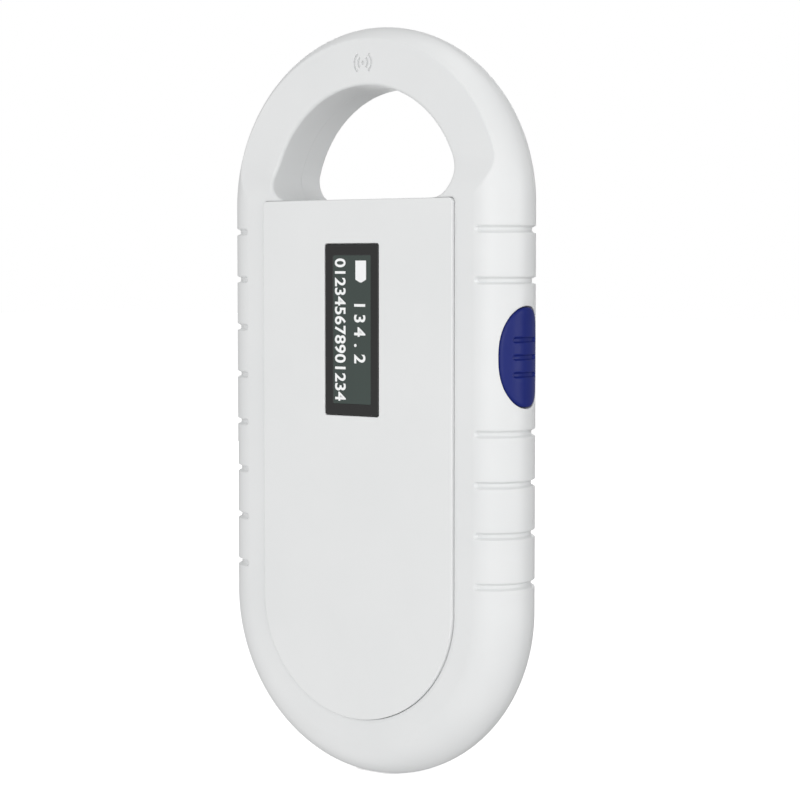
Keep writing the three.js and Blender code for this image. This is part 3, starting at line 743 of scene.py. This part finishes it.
def unique(loop):
    """A closed loop without points that fall on the one before."""
    kept = []
    for p in loop:
        if not kept or math.dist(p, kept[-1]) > 0.004:
            kept.append(p)
    while math.dist(kept[0], kept[-1]) < 0.004:
        kept.pop()
    return kept


# ---- rear shell ----


def rear_outer_row(station):
    """Points of the outside from the seam round to the flat rear."""
    seam_t = math.asin((REAR_SEAM_Y - WIDEST_BACK_Y) / (BACK_Y - WIDEST_BACK_Y))
    end_t = math.acos(1 - (HALF_WIDTH - GROOVE_START_R) / BACK_ACROSS)
    turns = [seam_t + 0.012]
    turns += [seam_t + 0.05 + (end_t - 0.15 - seam_t) * i / 20 for i in range(20)]
    turns += [end_t + 0.006 * i for i in range(-14, 3)]
    turns += [end_t + 0.02 + (math.pi / 2 - end_t - 0.02) * i / 8 for i in range(1, 9)]
    row = station.seam_points(back_profile(seam_t)[0], REAR_SEAM_Y, SEAM_STEP)
    row += [station.sunk_point(back_profile(t), back_profile(t, GROOVE_DEPTH)) for t in turns]
    return [station.point(radius, y) for radius, y in row]


def rear_inner_row(station):
    seam_t = math.asin((REAR_SEAM_Y - WIDEST_BACK_Y) / (BACK_Y - WALL - WIDEST_BACK_Y))
    row = [back_profile(seam_t + (math.pi / 2 - seam_t) * i / 12, WALL) for i in range(13)]
    return [station.point(radius, y) for radius, y in row]


def rear_hole_row(sample):
    """The hole's wall from the seam back, and its rounded rear edge."""
    row = [sample_point(sample, 0, REAR_SEAM_Y)]
    for a in quarter_turn(7):
        y = BACK_Y - REAR_FILLET * (1 - math.sin(a))
        row.append(sample_point(sample, REAR_FILLET * (1 - math.cos(a)), y))
    return row


def rear_shell():
    skin = Skin()
    outer = [rear_outer_row(s) for s in STATIONS]
    inner = [rear_inner_row(s) for s in STATIONS]
    skin.grid(outer, closed=True)
    skin.grid(inner, closed=True)
    skin.grid([[a[0], b[0]] for a, b in zip(outer, inner)], closed=True)
    hole = hole_samples()
    skin.grid([rear_hole_row(sample) for sample in hole], closed=True)
    edge = unique([(row[-1][0], row[-1][2]) for row in outer])
    skin.patch([edge, unique(grown(hole, REAR_FILLET))], lambda u, v: (u, BACK_Y, v))
    close_inside(skin, inner, REAR_SEAM_Y, lambda z: BACK_Y - WALL)
    return skin.build("rear_shell_skin")


# ---- cutters ----


def lathe(name, x, z, profile, sides=48):
    """A closed solid of revolution about a line along Y: profile is (radius, y) pairs."""
    skin = Skin()
    rows = []
    for i in range(sides):
        a = 2 * math.pi * i / sides
        rows.append([(x + r * math.cos(a), y, z + r * math.sin(a)) for r, y in profile])
    skin.grid(rows, closed=True)
    return skin.build(name)


def join(name, things):
    """Several separate meshes as one object."""
    b = bmesh.new()
    for thing in things:
        b.from_mesh(thing.data)
        bpy.data.objects.remove(thing)
    mesh = bpy.data.meshes.new(name)
    b.to_mesh(mesh)
    b.free()
    return linked(name, mesh)


def button_outline(grow, steps=144):
    """The button's full oval, grown or shrunk, as (y, z) points."""
    points = []
    for i in range(steps):
        a = 2 * math.pi * i / steps
        across = math.copysign(abs(math.cos(a)) ** (2 / BUTTON_FULLNESS), math.cos(a))
        along = math.copysign(abs(math.sin(a)) ** (2 / BUTTON_FULLNESS), math.sin(a))
        y = BUTTON_Y + (BUTTON_HALF_Y + grow) * across
        z = BUTTON_Z + (BUTTON_HALF_Z + grow) * along
        points.append((y, z))
    return points


def button_cutter():
    """The button's opening, flared a little where it meets the outer surface."""
    levels = [(0.6, BUTTON_CUT_OUT), (0.5, 0.25), (0.36, 0.0), (0.26, -0.06), (BUTTON_GAP, -0.16)]
    loops = []
    for grow, out in levels:
        loops.append([(side_radius(y) + out, y, z) for y, z in button_outline(grow)])
    loops.append([(BUTTON_ROOM_X, y, z) for y, z in button_outline(BUTTON_GAP)])
    skin = Skin()
    skin.rings(loops)
    outside = [p[1:] for p in loops[0]]
    inside = [p[1:] for p in loops[-1]]
    skin.patch([outside], lambda u, v: (side_radius(u) + BUTTON_CUT_OUT, u, v))
    skin.patch([inside], lambda u, v: (BUTTON_ROOM_X, u, v))
    return skin.build("button_cutter")


def port_cutter():
    """The charging port's opening, a rounded slot that is flared at its mouth."""
    room = 2 * PORT_GAP
    outline = rounded_box((0, PORT_Y, PORT_WIDTH + room, PORT_HEIGHT + room, PORT_CUT_CORNER), 12)
    levels = [(0.0, PORT_CUT_TOP_Z), (0.0, -67.5), (0.5, -68.0), (1.5, PORT_CUT_LOW_Z)]
    skin = Skin()
    skin.rings([[(x, y, z) for x, y in grown(outline, g)] for g, z in levels])
    skin.patch([unique(grown(outline, 0.0))], lambda u, v: (u, v, PORT_CUT_TOP_Z))
    skin.patch([unique(grown(outline, 1.5))], lambda u, v: (u, v, PORT_CUT_LOW_Z))
    return skin.build("port_cutter")


def arc_bar(radius, side):
    """One arc of the wireless sign, as a closed bar through the loop's face."""
    middle = arc(0, SYMBOL_Z, radius, side - SYMBOL_SPREAD, side + SYMBOL_SPREAD, 24)
    inner, outer = grown(middle, -SYMBOL_HALF_LINE), grown(middle, SYMBOL_HALF_LINE)
    front, floor = SYMBOL_FRONT_Y, SYMBOL_FLOOR_Y
    rows = []
    for (ax, az), (bx, bz) in zip(inner, outer):
        corners = [(ax, front, az), (bx, front, bz), (bx, floor, bz), (ax, floor, az)]
        rows.append(corners + corners[:1])
    skin = Skin()
    skin.grid(rows)
    for row in (rows[0], rows[-1]):
        skin.grid([[row[0], row[1]], [row[3], row[2]]])
    return skin.build("arc")


def symbol_cutter():
    """A generic wireless sign: a dot between two pairs of arcs."""
    front, floor = SYMBOL_FRONT_Y, SYMBOL_FLOOR_Y
    dot = [(0, front), (SYMBOL_DOT, front), (SYMBOL_DOT, floor), (0, floor)]
    pieces = [lathe("dot", 0, SYMBOL_Z, dot, 24)]
    for side in (0, 180):
        for radius in SYMBOL_RADII:
            pieces.append(arc_bar(radius, side))
    return join("symbol_cutter", pieces)


def box_mesh(name, low, high):
    skin = Skin()
    (x0, y0, z0), (x1, y1, z1) = low, high
    corners = [(y0, z0), (y1, z0), (y1, z1), (y0, z1)]
    skin.grid([[(x0, y, z), (x1, y, z)] for y, z in corners], closed=True)
    skin.grid([[(x0, y0, z0), (x0, y1, z0)], [(x0, y0, z1), (x0, y1, z1)]])
    skin.grid([[(x1, y0, z0), (x1, y1, z0)], [(x1, y0, z1), (x1, y1, z1)]])
    return skin.build(name)


def window_cutter():
    """The opening in the recess's floor that the display glass looks through."""
    x, z, width, _, _ = WINDOW
    low = (x - width / 2, RECESS_Y - 0.7, z - GLASS_OPENING / 2)
    high = (x + width / 2, INNER_FLOOR_Y + 1.2, z + GLASS_OPENING / 2)
    return box_mesh("window_cutter", low, high)


def finished_front_shell():
    shell = front_shell()
    for cutter in (window_cutter(), button_cutter(), port_cutter(), symbol_cutter()):
        cut(shell, cutter)
    smooth(shell)
    return shell


def boss(x, z):
    low, root = BOSS_LOW_Y, BOSS_ROOT_Y
    return lathe("boss", x, z, [(0, low), (BOSS_RADIUS, low), (BOSS_RADIUS, root), (0, root)])


def screw_well(x, z):
    """A case screw's stepped hole, open to the rear with a small chamfer."""
    profile = [(0, WELL_START_Y), (SCREW_HOLE, WELL_START_Y), (SCREW_HOLE, WELL_FLOOR_Y)]
    profile += [(WELL_RADIUS, WELL_FLOOR_Y), (WELL_RADIUS, BACK_Y - 0.2)]
    profile += [(WELL_RADIUS + 0.06, BACK_Y - 0.06)]
    profile += [(WELL_RADIUS + 0.2, BACK_Y), (WELL_RADIUS + 0.6, BACK_Y + 0.4), (0, BACK_Y + 0.4)]
    return lathe("well", x, z, profile)


def sound_holes():
    """One hole over the buzzer, with six more in a ring round it."""
    spots = [(BUZZER_X, BUZZER_Z)]
    for i in range(6):
        a = math.pi / 3 * i
        spots.append((BUZZER_X + SOUND_RING * math.cos(a), BUZZER_Z + SOUND_RING * math.sin(a)))
    radius, start = SOUND_RADIUS, SOUND_START_Y
    profile = [(0, start), (radius, start), (radius, BACK_Y - 0.18), (radius + 0.15, BACK_Y)]
    profile += [(radius + 0.5, BACK_Y + 0.4), (0, BACK_Y + 0.4)]
    return [lathe("hole", x, z, profile, 32) for x, z in spots]


def finished_rear_shell():
    shell = rear_shell()
    cut(shell, join("bosses", [boss(x, z) for x, z in CASE_SCREWS.values()]), "UNION")
    wells = [screw_well(x, z) for x, z in CASE_SCREWS.values()]
    cut(shell, join("wells", wells + sound_holes()))
    for cutter in (button_cutter(), port_cutter()):
        cut(shell, cutter)
    smooth(shell)
    return shell


# ---- panel and display ----


def panel_outline():
    x = PANEL_HALF - PANEL_CORNER
    z = PANEL_TOP_Z - PANEL_CORNER
    samples = arc(x, z, PANEL_CORNER, 0, 90, 10) + arc(-x, z, PANEL_CORNER, 90, 180, 10)
    return samples + arc(0, PANEL_BOTTOM_Z, PANEL_HALF, 180, 360, 144)


def make_panel():
    holes = [rounded_box(WINDOW)]
    panel = plate("panel_skin", panel_outline(), PANEL_Y, PANEL_BACK_Y, PANEL_FILLET, holes)
    smooth(panel)
    return panel


def make_lens():
    lens = plate("lens_border", rounded_box(LENS), LENS_Y, LENS_BACK_Y, 0.12, [rounded_box(ACTIVE)])
    smooth(lens)
    return lens


def make_screen():
    outline = [(c, n, r - 0.01) for c, n, r in rounded_box(ACTIVE)]
    screen = plate("display_screen", outline, SCREEN_Y, LENS_BACK_Y, 0.01)
    smooth(screen)
    return screen


def make_battery_icon():
    """The charge sign on the display: a block with a pointed lower end."""
    left, right, top, shoulder, tip = 0.12, 2.5, 26.0, 22.6, 22.1
    mid = (left + right) / 2
    outline = [(left, shoulder), (mid - 0.2, tip), (mid + 0.2, tip)]
    outline += [(right, shoulder), (right, top), (left, top)]
    samples = [(p, (0, 0), 0) for p in outline]
    return plate("battery_icon", samples, MARK_Y, SCREEN_Y + 0.1, 0.0)


def make_text(name, text, x, z, height, pitch):
    """One line of figures on the display, read from the top down."""
    turn = Matrix(((0, 1, 0), (0, 0, -1), (-1, 0, 0))).to_4x4()
    letters = []
    for i, letter in enumerate(text):
        curve = bpy.data.curves.new(name, "FONT")
        curve.body = letter
        curve.size = height * MM / CAPITAL_SHARE
        curve.offset = LETTER_BOLDNESS * height * MM
        curve.extrude = LETTER_DEPTH * MM
        curve.align_x = "CENTER"
        thing = linked(name, curve)
        place = Vector((x, MARK_Y + LETTER_DEPTH, z - pitch * i)) * MM
        thing.matrix_world = Matrix.Translation(place) @ turn
        bpy.context.view_layer.update()
        mesh = shown_mesh(thing)
        mesh.transform(thing.matrix_world)
        bpy.data.objects.remove(thing)
        letters.append(bpy.data.objects.new(name, mesh))
    return join(name, letters)


# ---- button ----


def ridge_depth(y, z):
    """Depth of the three short grooves across the button."""
    half = BUTTON_Y - RIDGE_FRONT_Y - RIDGE_END
    weight = 0.0
    for k in (-1, 0, 1):
        away = math.hypot(max(abs(y - BUTTON_Y) - half, 0.0), z - (BUTTON_Z + k * RIDGE_PITCH))
        weight = max(weight, smoothstep((RIDGE_HALF_OPEN - away) / RIDGE_EASE))
    return RIDGE_DEPTH * weight


def button_grid():
    """Points inside the button's face, closer together round its grooves."""
    levels = set()
    for k in (-1, 0, 1):
        for d in (0, 0.1, 0.2, 0.26, 0.32, 0.38, 0.44, 0.5, 0.58, 0.7, 1.0, 1.52):
            levels.add(round(BUTTON_Z + k * RIDGE_PITCH + d, 4))
            levels.add(round(BUTTON_Z + k * RIDGE_PITCH - d, 4))
    top = BUTTON_Z + RIDGE_PITCH + 1.52
    for i in range(1, 12):
        levels.add(round(top + 0.35 * i, 4))
        levels.add(round(2 * BUTTON_Z - top - 0.35 * i, 4))
    ends = BUTTON_Y - RIDGE_FRONT_Y
    across = set()
    for d in (0.15, 0.08, 0.02, -0.05, -0.12, -0.2, -0.3, -0.42, -0.6):
        across.add(round(ends + d, 4))
        across.add(round(-ends - d, 4))
    for i in range(-13, 14):
        if abs(i * 0.38) < ends - 0.6 or abs(i * 0.38) > ends + 0.15:
            across.add(round(i * 0.38, 4))
    half_y = BUTTON_HALF_Y - BUTTON_RIM - 0.2
    half_z = BUTTON_HALF_Z - BUTTON_RIM - 0.2
    points = []
    for z in sorted(levels):
        for d in sorted(across):
            if math.hypot(d / half_y, (z - BUTTON_Z) / half_z) < 1:
                points.append((BUTTON_Y + d, z))
    return points


def make_button():
    """The cap: its rounded face and rim, its skirt and the flange that holds it in."""
    skin = Skin()
    rim = BUTTON_RIM
    levels = [(rim * (math.sin(a) - 1), rim * (1 - math.cos(a))) for a in quarter_turn(7)]
    levels += [(0.0, BUTTON_SKIN), (FLANGE_GROW, BUTTON_SKIN), (FLANGE_GROW, FLANGE_BACK)]
    loops = []
    for grow, depth in levels:
        loops.append([(side_radius(y) - depth, y, z) for y, z in button_outline(grow)])
    skin.rings(loops)
    face = [p[1:] for p in loops[0]]
    skin.patch([face], lambda u, v: (side_radius(u) - ridge_depth(u, v), u, v), button_grid())
    back = [p[1:] for p in loops[-1]]
    skin.patch([back], lambda u, v: (side_radius(u) - FLANGE_BACK, u, v), button_grid())
    button = skin.build("button_skin")
    smooth(button)
    return button


# ---- screws and port ----


def make_screw(name, x, z):
    """A pan-head screw with a cross recess, its head to the rear."""
    top = SCREW_SEAT_Y + SCREW_HEIGHT
    profile = [(0, SCREW_TIP_Y), (0.35, SCREW_TIP_Y), (SCREW_SHANK, SCREW_TIP_Y + 0.9)]
    profile += [(SCREW_SHANK, SCREW_SEAT_Y), (SCREW_HEAD, SCREW_SEAT_Y)]
    for a in quarter_turn(6):
        in_by, down_by = SCREW_FILLET * (1 - math.cos(a)), SCREW_FILLET * (1 - math.sin(a))
        profile.append((SCREW_HEAD - in_by, top - down_by - 0.1))
    profile += [(0.7, top - 0.02), (0, top)]
    screw = lathe(name, x, z, profile)
    reach, half, depth = SCREW_HEAD * 0.6, SCREW_HEAD * 0.13, SCREW_HEIGHT * 0.55
    for dx, dz in ((reach, half), (half, reach)):
        cut(screw, box_mesh("slot", (x - dx, top - depth, z - dz), (x + dx, top + 1, z + dz)))
    smooth(screw)
    return screw


def make_port():
    """The charging socket: a thin stadium tube round a flat tongue."""
    outline = rounded_box((0, PORT_Y, PORT_WIDTH, PORT_HEIGHT, PORT_HEIGHT / 2 - 0.01), 12)
    inner = [(c, n, r - PORT_WALL) for c, n, r in outline]
    levels = [(0, PORT_BACK_Z), (0, PORT_MOUTH_Z + 0.1), (-0.1, PORT_MOUTH_Z)]
    floor_z = PORT_BACK_Z - PORT_FLOOR
    hollow = [(0.08, PORT_MOUTH_Z), (0, PORT_MOUTH_Z + 0.15), (0, floor_z)]
    loops = [[(*p, z) for p in grown(outline, g)] for g, z in levels]
    loops += [[(*p, z) for p in grown(inner, g)] for g, z in hollow]
    skin = Skin()
    skin.rings(loops)
    skin.patch([unique(grown(outline, 0))], lambda u, v: (u, v, PORT_BACK_Z))
    skin.patch([unique(grown(inner, 0))], lambda u, v: (u, v, floor_z))
    port = skin.build("port_socket")
    low = (-TONGUE_HALF_WIDTH, PORT_Y - TONGUE_HALF_HEIGHT, PORT_MOUTH_Z + 0.8)
    high = (TONGUE_HALF_WIDTH, PORT_Y + TONGUE_HALF_HEIGHT, PORT_BACK_Z - 0.6)
    cut(port, box_mesh("tongue", low, high), "UNION")
    smooth(port)
    return port


# ---- materials ----

# The part of the noise's range that the colour and the roughness follow.
NOISE_RANGE = (0.3, 0.7)


def set_inputs(node, **values):
    """Sets a node's inputs; an underscore in a name stands for a space."""
    for name, value in values.items():
        node.inputs[name.replace("_", " ")].default_value = value
    return node


def material(name, colour, roughness, metallic=0.0, **sockets):
    """A material with its constants on the shader's own sockets."""
    m = bpy.data.materials.new(name)
    m.use_nodes = True
    shader = m.node_tree.nodes["Principled BSDF"]
    set_inputs(shader, Base_Color=(*colour, 1), Roughness=roughness, Metallic=metallic, **sockets)
    return m


def drive(m, source, socket):
    """Links a node's output to one of the shader's sockets."""
    m.node_tree.links.new(source, m.node_tree.nodes["Principled BSDF"].inputs[socket])


def add_noise(m, scale, node, socket):
    """Feeds noise that is fixed to the object into a node's socket."""
    tree = m.node_tree
    where = tree.nodes.new("ShaderNodeTexCoord")
    noise = set_inputs(tree.nodes.new("ShaderNodeTexNoise"), Scale=scale, Detail=3.0)
    tree.links.new(where.outputs["Object"], noise.inputs["Vector"])
    tree.links.new(noise.outputs["Fac"], node.inputs[socket])


def add_bump(m, scale, strength, distance):
    """A fine moulded grain."""
    bump = m.node_tree.nodes.new("ShaderNodeBump")
    set_inputs(bump, Strength=strength, Distance=distance)
    add_noise(m, scale, bump, "Height")
    drive(m, bump.outputs["Normal"], "Normal")
    return m


def vary_colour(m, scale, dark, light):
    """A slow change between two nearly equal colours."""
    ramp = m.node_tree.nodes.new("ShaderNodeValToRGB")
    for stop, position, colour in zip(ramp.color_ramp.elements, NOISE_RANGE, (dark, light)):
        stop.position = position
        stop.color = (*colour, 1)
    add_noise(m, scale, ramp, "Fac")
    drive(m, ramp.outputs["Color"], "Base Color")


def vary_roughness(m, scale, low, high):
    spread = m.node_tree.nodes.new("ShaderNodeMapRange")
    start, end = NOISE_RANGE
    set_inputs(spread, From_Min=start, From_Max=end, To_Min=low, To_Max=high)
    add_noise(m, scale, spread, "Value")
    drive(m, spread.outputs["Result"], "Roughness")


def plastic(name, dark, light, roughness, grain, **sockets):
    m = material(name, light, roughness, IOR=1.5, **sockets)
    vary_colour(m, 60, dark, light)
    vary_roughness(m, 220, roughness - 0.04, roughness + 0.04)
    return add_bump(m, 5200, grain, 0.00004)


def metal(name, dark, light, roughness, scale):
    m = material(name, light, roughness, 1.0)
    vary_colour(m, scale / 4, dark, light)
    vary_roughness(m, scale, roughness - 0.05, roughness + 0.07)
    return add_bump(m, scale * 3, 0.08, 0.00003)


def board_material():
    """Green solder mask over a faint pattern of tracks."""
    m = material("circuit_board", (0.02, 0.14, 0.06), 0.35, Coat_Weight=0.3)
    tree = m.node_tree
    where = tree.nodes.new("ShaderNodeTexCoord")
    turn = set_inputs(tree.nodes.new("ShaderNodeMapping"), Rotation=(math.pi / 2, 0, 0))
    bricks = set_inputs(
        tree.nodes.new("ShaderNodeTexBrick"),
        Scale=260,
        Color1=(0.016, 0.11, 0.05, 1),
        Color2=(0.02, 0.13, 0.058, 1),
        Mortar=(0.04, 0.2, 0.09, 1),
        Mortar_Size=0.03,
    )
    tree.links.new(where.outputs["Object"], turn.inputs["Vector"])
    tree.links.new(turn.outputs["Vector"], bricks.inputs["Vector"])
    drive(m, bricks.outputs["Color"], "Base Color")
    return add_bump(m, 3000, 0.05, 0.00003)


# Slot: darker colour, lighter colour, roughness and strength of the grain.
PLASTICS = {
    "shell": ((0.76, 0.77, 0.772), (0.785, 0.793, 0.794), 0.42, 0.12),
    "panel": ((0.775, 0.785, 0.785), (0.795, 0.803, 0.803), 0.4, 0.1),
    "lens": ((0.006, 0.006, 0.006), (0.009, 0.009, 0.009), 0.12, 0.02),
    "screen": ((0.034, 0.05, 0.044), (0.038, 0.056, 0.049), 0.2, 0.02),
    "mark": ((0.9, 0.91, 0.91), (0.94, 0.95, 0.95), 0.5, 0.02),
    "display_glass": ((0.02, 0.028, 0.026), (0.03, 0.04, 0.037), 0.08, 0.02),
    "black_plastic": ((0.016, 0.016, 0.018), (0.024, 0.024, 0.026), 0.5, 0.12),
    "chip": ((0.012, 0.012, 0.014), (0.02, 0.02, 0.022), 0.55, 0.3),
    "capacitor": ((0.5, 0.38, 0.22), (0.58, 0.45, 0.27), 0.5, 0.12),
    "ferrite": ((0.04, 0.04, 0.045), (0.06, 0.06, 0.065), 0.75, 0.4),
    "ribbon": ((0.4, 0.16, 0.045), (0.5, 0.22, 0.07), 0.3, 0.12),
    "tape": ((0.62, 0.58, 0.46), (0.7, 0.66, 0.53), 0.7, 0.12),
    "foam": ((0.68, 0.67, 0.63), (0.78, 0.77, 0.73), 0.95, 0.6),
    "white_nylon": ((0.74, 0.72, 0.66), (0.82, 0.8, 0.74), 0.45, 0.12),
    "lead_red": ((0.4, 0.015, 0.012), (0.5, 0.025, 0.018), 0.45, 0.12),
    "lead_black": ((0.015, 0.015, 0.015), (0.025, 0.025, 0.025), 0.45, 0.12),
}
# Slot: darker colour, lighter colour, roughness and scale of the brushing.
METALS = {
    "battery_foil": ((0.55, 0.56, 0.58), (0.68, 0.69, 0.71), 0.38, 300),
    "steel": ((0.55, 0.56, 0.58), (0.64, 0.65, 0.67), 0.26, 900),
    "screw_steel": ((0.46, 0.47, 0.49), (0.56, 0.57, 0.59), 0.3, 900),
    "copper_wire": ((0.5, 0.2, 0.08), (0.62, 0.28, 0.12), 0.3, 1500),
}
BUTTON_BLUES = (0.006, 0.0145, 0.15), (0.0085, 0.018, 0.165)


def make_materials():
    materials = {slot: plastic(slot, *look) for slot, look in PLASTICS.items()}
    materials.update((slot, metal(slot, *look)) for slot, look in METALS.items())
    materials["button"] = plastic("button", *BUTTON_BLUES, 0.38, 0.12, Specular_IOR_Level=0.22)
    materials["circuit_board"] = board_material()
    return materials


def paint(thing, m):
    thing.data.materials.clear()
    thing.data.materials.append(m)


def paint_frame_nodes(materials):
    """Every CAD node that still shows gets the finish of its slot in the record."""
    for row in frame["record"]["subparts"]:
        node = frame["nodes"][row["node"]]
        paint(node, materials[row["material_slot"]])


# ---- camera, light and floor ----


def add_camera():
    camera = bpy.data.cameras.new("camera")
    camera.lens = CAMERA_LENS
    camera.sensor_width = 36
    camera.clip_start = 0.01
    holder = linked("camera", camera)
    holder.location = CAMERA_PLACE
    holder.rotation_euler = Vector(CAMERA_BACK).to_track_quat("Z", "Y").to_euler()
    bpy.context.scene.camera = holder


def add_softbox(name, location, target, size, watts):
    """A square white light aimed at a point; all in metres."""
    light = bpy.data.lights.new(name, "AREA")
    light.shape = "SQUARE"
    light.size = size
    light.energy = watts
    holder = linked(name, light)
    holder.location = location
    aim = Vector(target) - Vector(location)
    holder.rotation_euler = aim.to_track_quat("-Z", "Y").to_euler()


def add_world():
    """A soft light all round, stronger from the front, seen as plain white behind the object."""
    world = bpy.data.worlds.new("studio")
    world.use_nodes = True
    tree = world.node_tree
    seen = set_inputs(tree.nodes["Background"], Color=(1, 1, 1, 1), Strength=1.0)
    lighting = tree.nodes.new("ShaderNodeBackground")
    where = tree.nodes.new("ShaderNodeTexCoord")
    axes = tree.nodes.new("ShaderNodeSeparateXYZ")
    fall = tree.nodes.new("ShaderNodeMapRange")
    fall.interpolation_type = "SMOOTHSTEP"
    set_inputs(fall, From_Min=-0.4, From_Max=0.4, To_Min=FRONT_LIGHT, To_Max=BACK_LIGHT)
    path = tree.nodes.new("ShaderNodeLightPath")
    choice = tree.nodes.new("ShaderNodeMixShader")
    for source, socket in (
        (where.outputs["Generated"], axes.inputs["Vector"]),
        (axes.outputs["Y"], fall.inputs["Value"]),
        (fall.outputs["Result"], lighting.inputs["Strength"]),
        (path.outputs["Is Camera Ray"], choice.inputs[0]),
        (lighting.outputs["Background"], choice.inputs[1]),
        (seen.outputs["Background"], choice.inputs[2]),
        (choice.outputs["Shader"], tree.nodes["World Output"].inputs["Surface"]),
    ):
        tree.links.new(source, socket)
    bpy.context.scene.world = world


def add_lights():
    add_world()
    for softbox in SOFTBOXES:
        add_softbox(*softbox)
    bpy.context.scene.view_settings.view_transform = "Standard"


def add_floor():
    z = min(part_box(n)[0].z for n in frame["nodes"]) / MM
    half = FLOOR_HALF
    skin = Skin()
    skin.grid([[(-half, -half, z), (half, -half, z)], [(-half, half, z), (half, half, z)]])
    floor = skin.build("floor")
    m = material("floor", (0.85, 0.85, 0.85), 0.8, Emission_Strength=0.6)
    m.node_tree.nodes["Principled BSDF"].inputs["Emission Color"].default_value = (1, 1, 1, 1)
    paint(floor, m)
    floor.visible_diffuse = False
    floor.visible_glossy = False
    floor.visible_shadow = False


# ---- putting it together ----


def add_piece(thing, body, slot, m, *nodes):
    paint(thing, m)
    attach(thing, body)
    if nodes:
        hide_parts(*nodes)


def add_pieces(materials):
    add_piece(finished_front_shell(), "housing", "shell", materials["shell"], "front_shell")
    add_piece(finished_rear_shell(), "housing", "shell", materials["shell"], "rear_shell")
    add_piece(make_panel(), "housing", "panel", materials["panel"], "front_panel")
    add_piece(make_lens(), "housing", "lens", materials["lens"], "display_lens")
    add_piece(make_screen(), "housing", "lens", materials["screen"])
    add_piece(make_battery_icon(), "housing", "lens", materials["mark"])
    for line in FIGURE_LINES:
        add_piece(make_text(*line), "housing", "lens", materials["mark"])
    add_piece(make_button(), "button", "button", materials["button"], "button_cap")
    for name, (x, z) in CASE_SCREWS.items():
        screw = make_screw(f"screw_{name}", x, z)
        add_piece(screw, "housing", "screw_steel", materials["screw_steel"], f"case_screw_{name}")
    add_piece(make_port(), "housing", "steel", materials["steel"], "usb_port")


add_camera()
add_lights()
MATERIALS = make_materials()
paint_frame_nodes(MATERIALS)
add_pieces(MATERIALS)
add_floor()
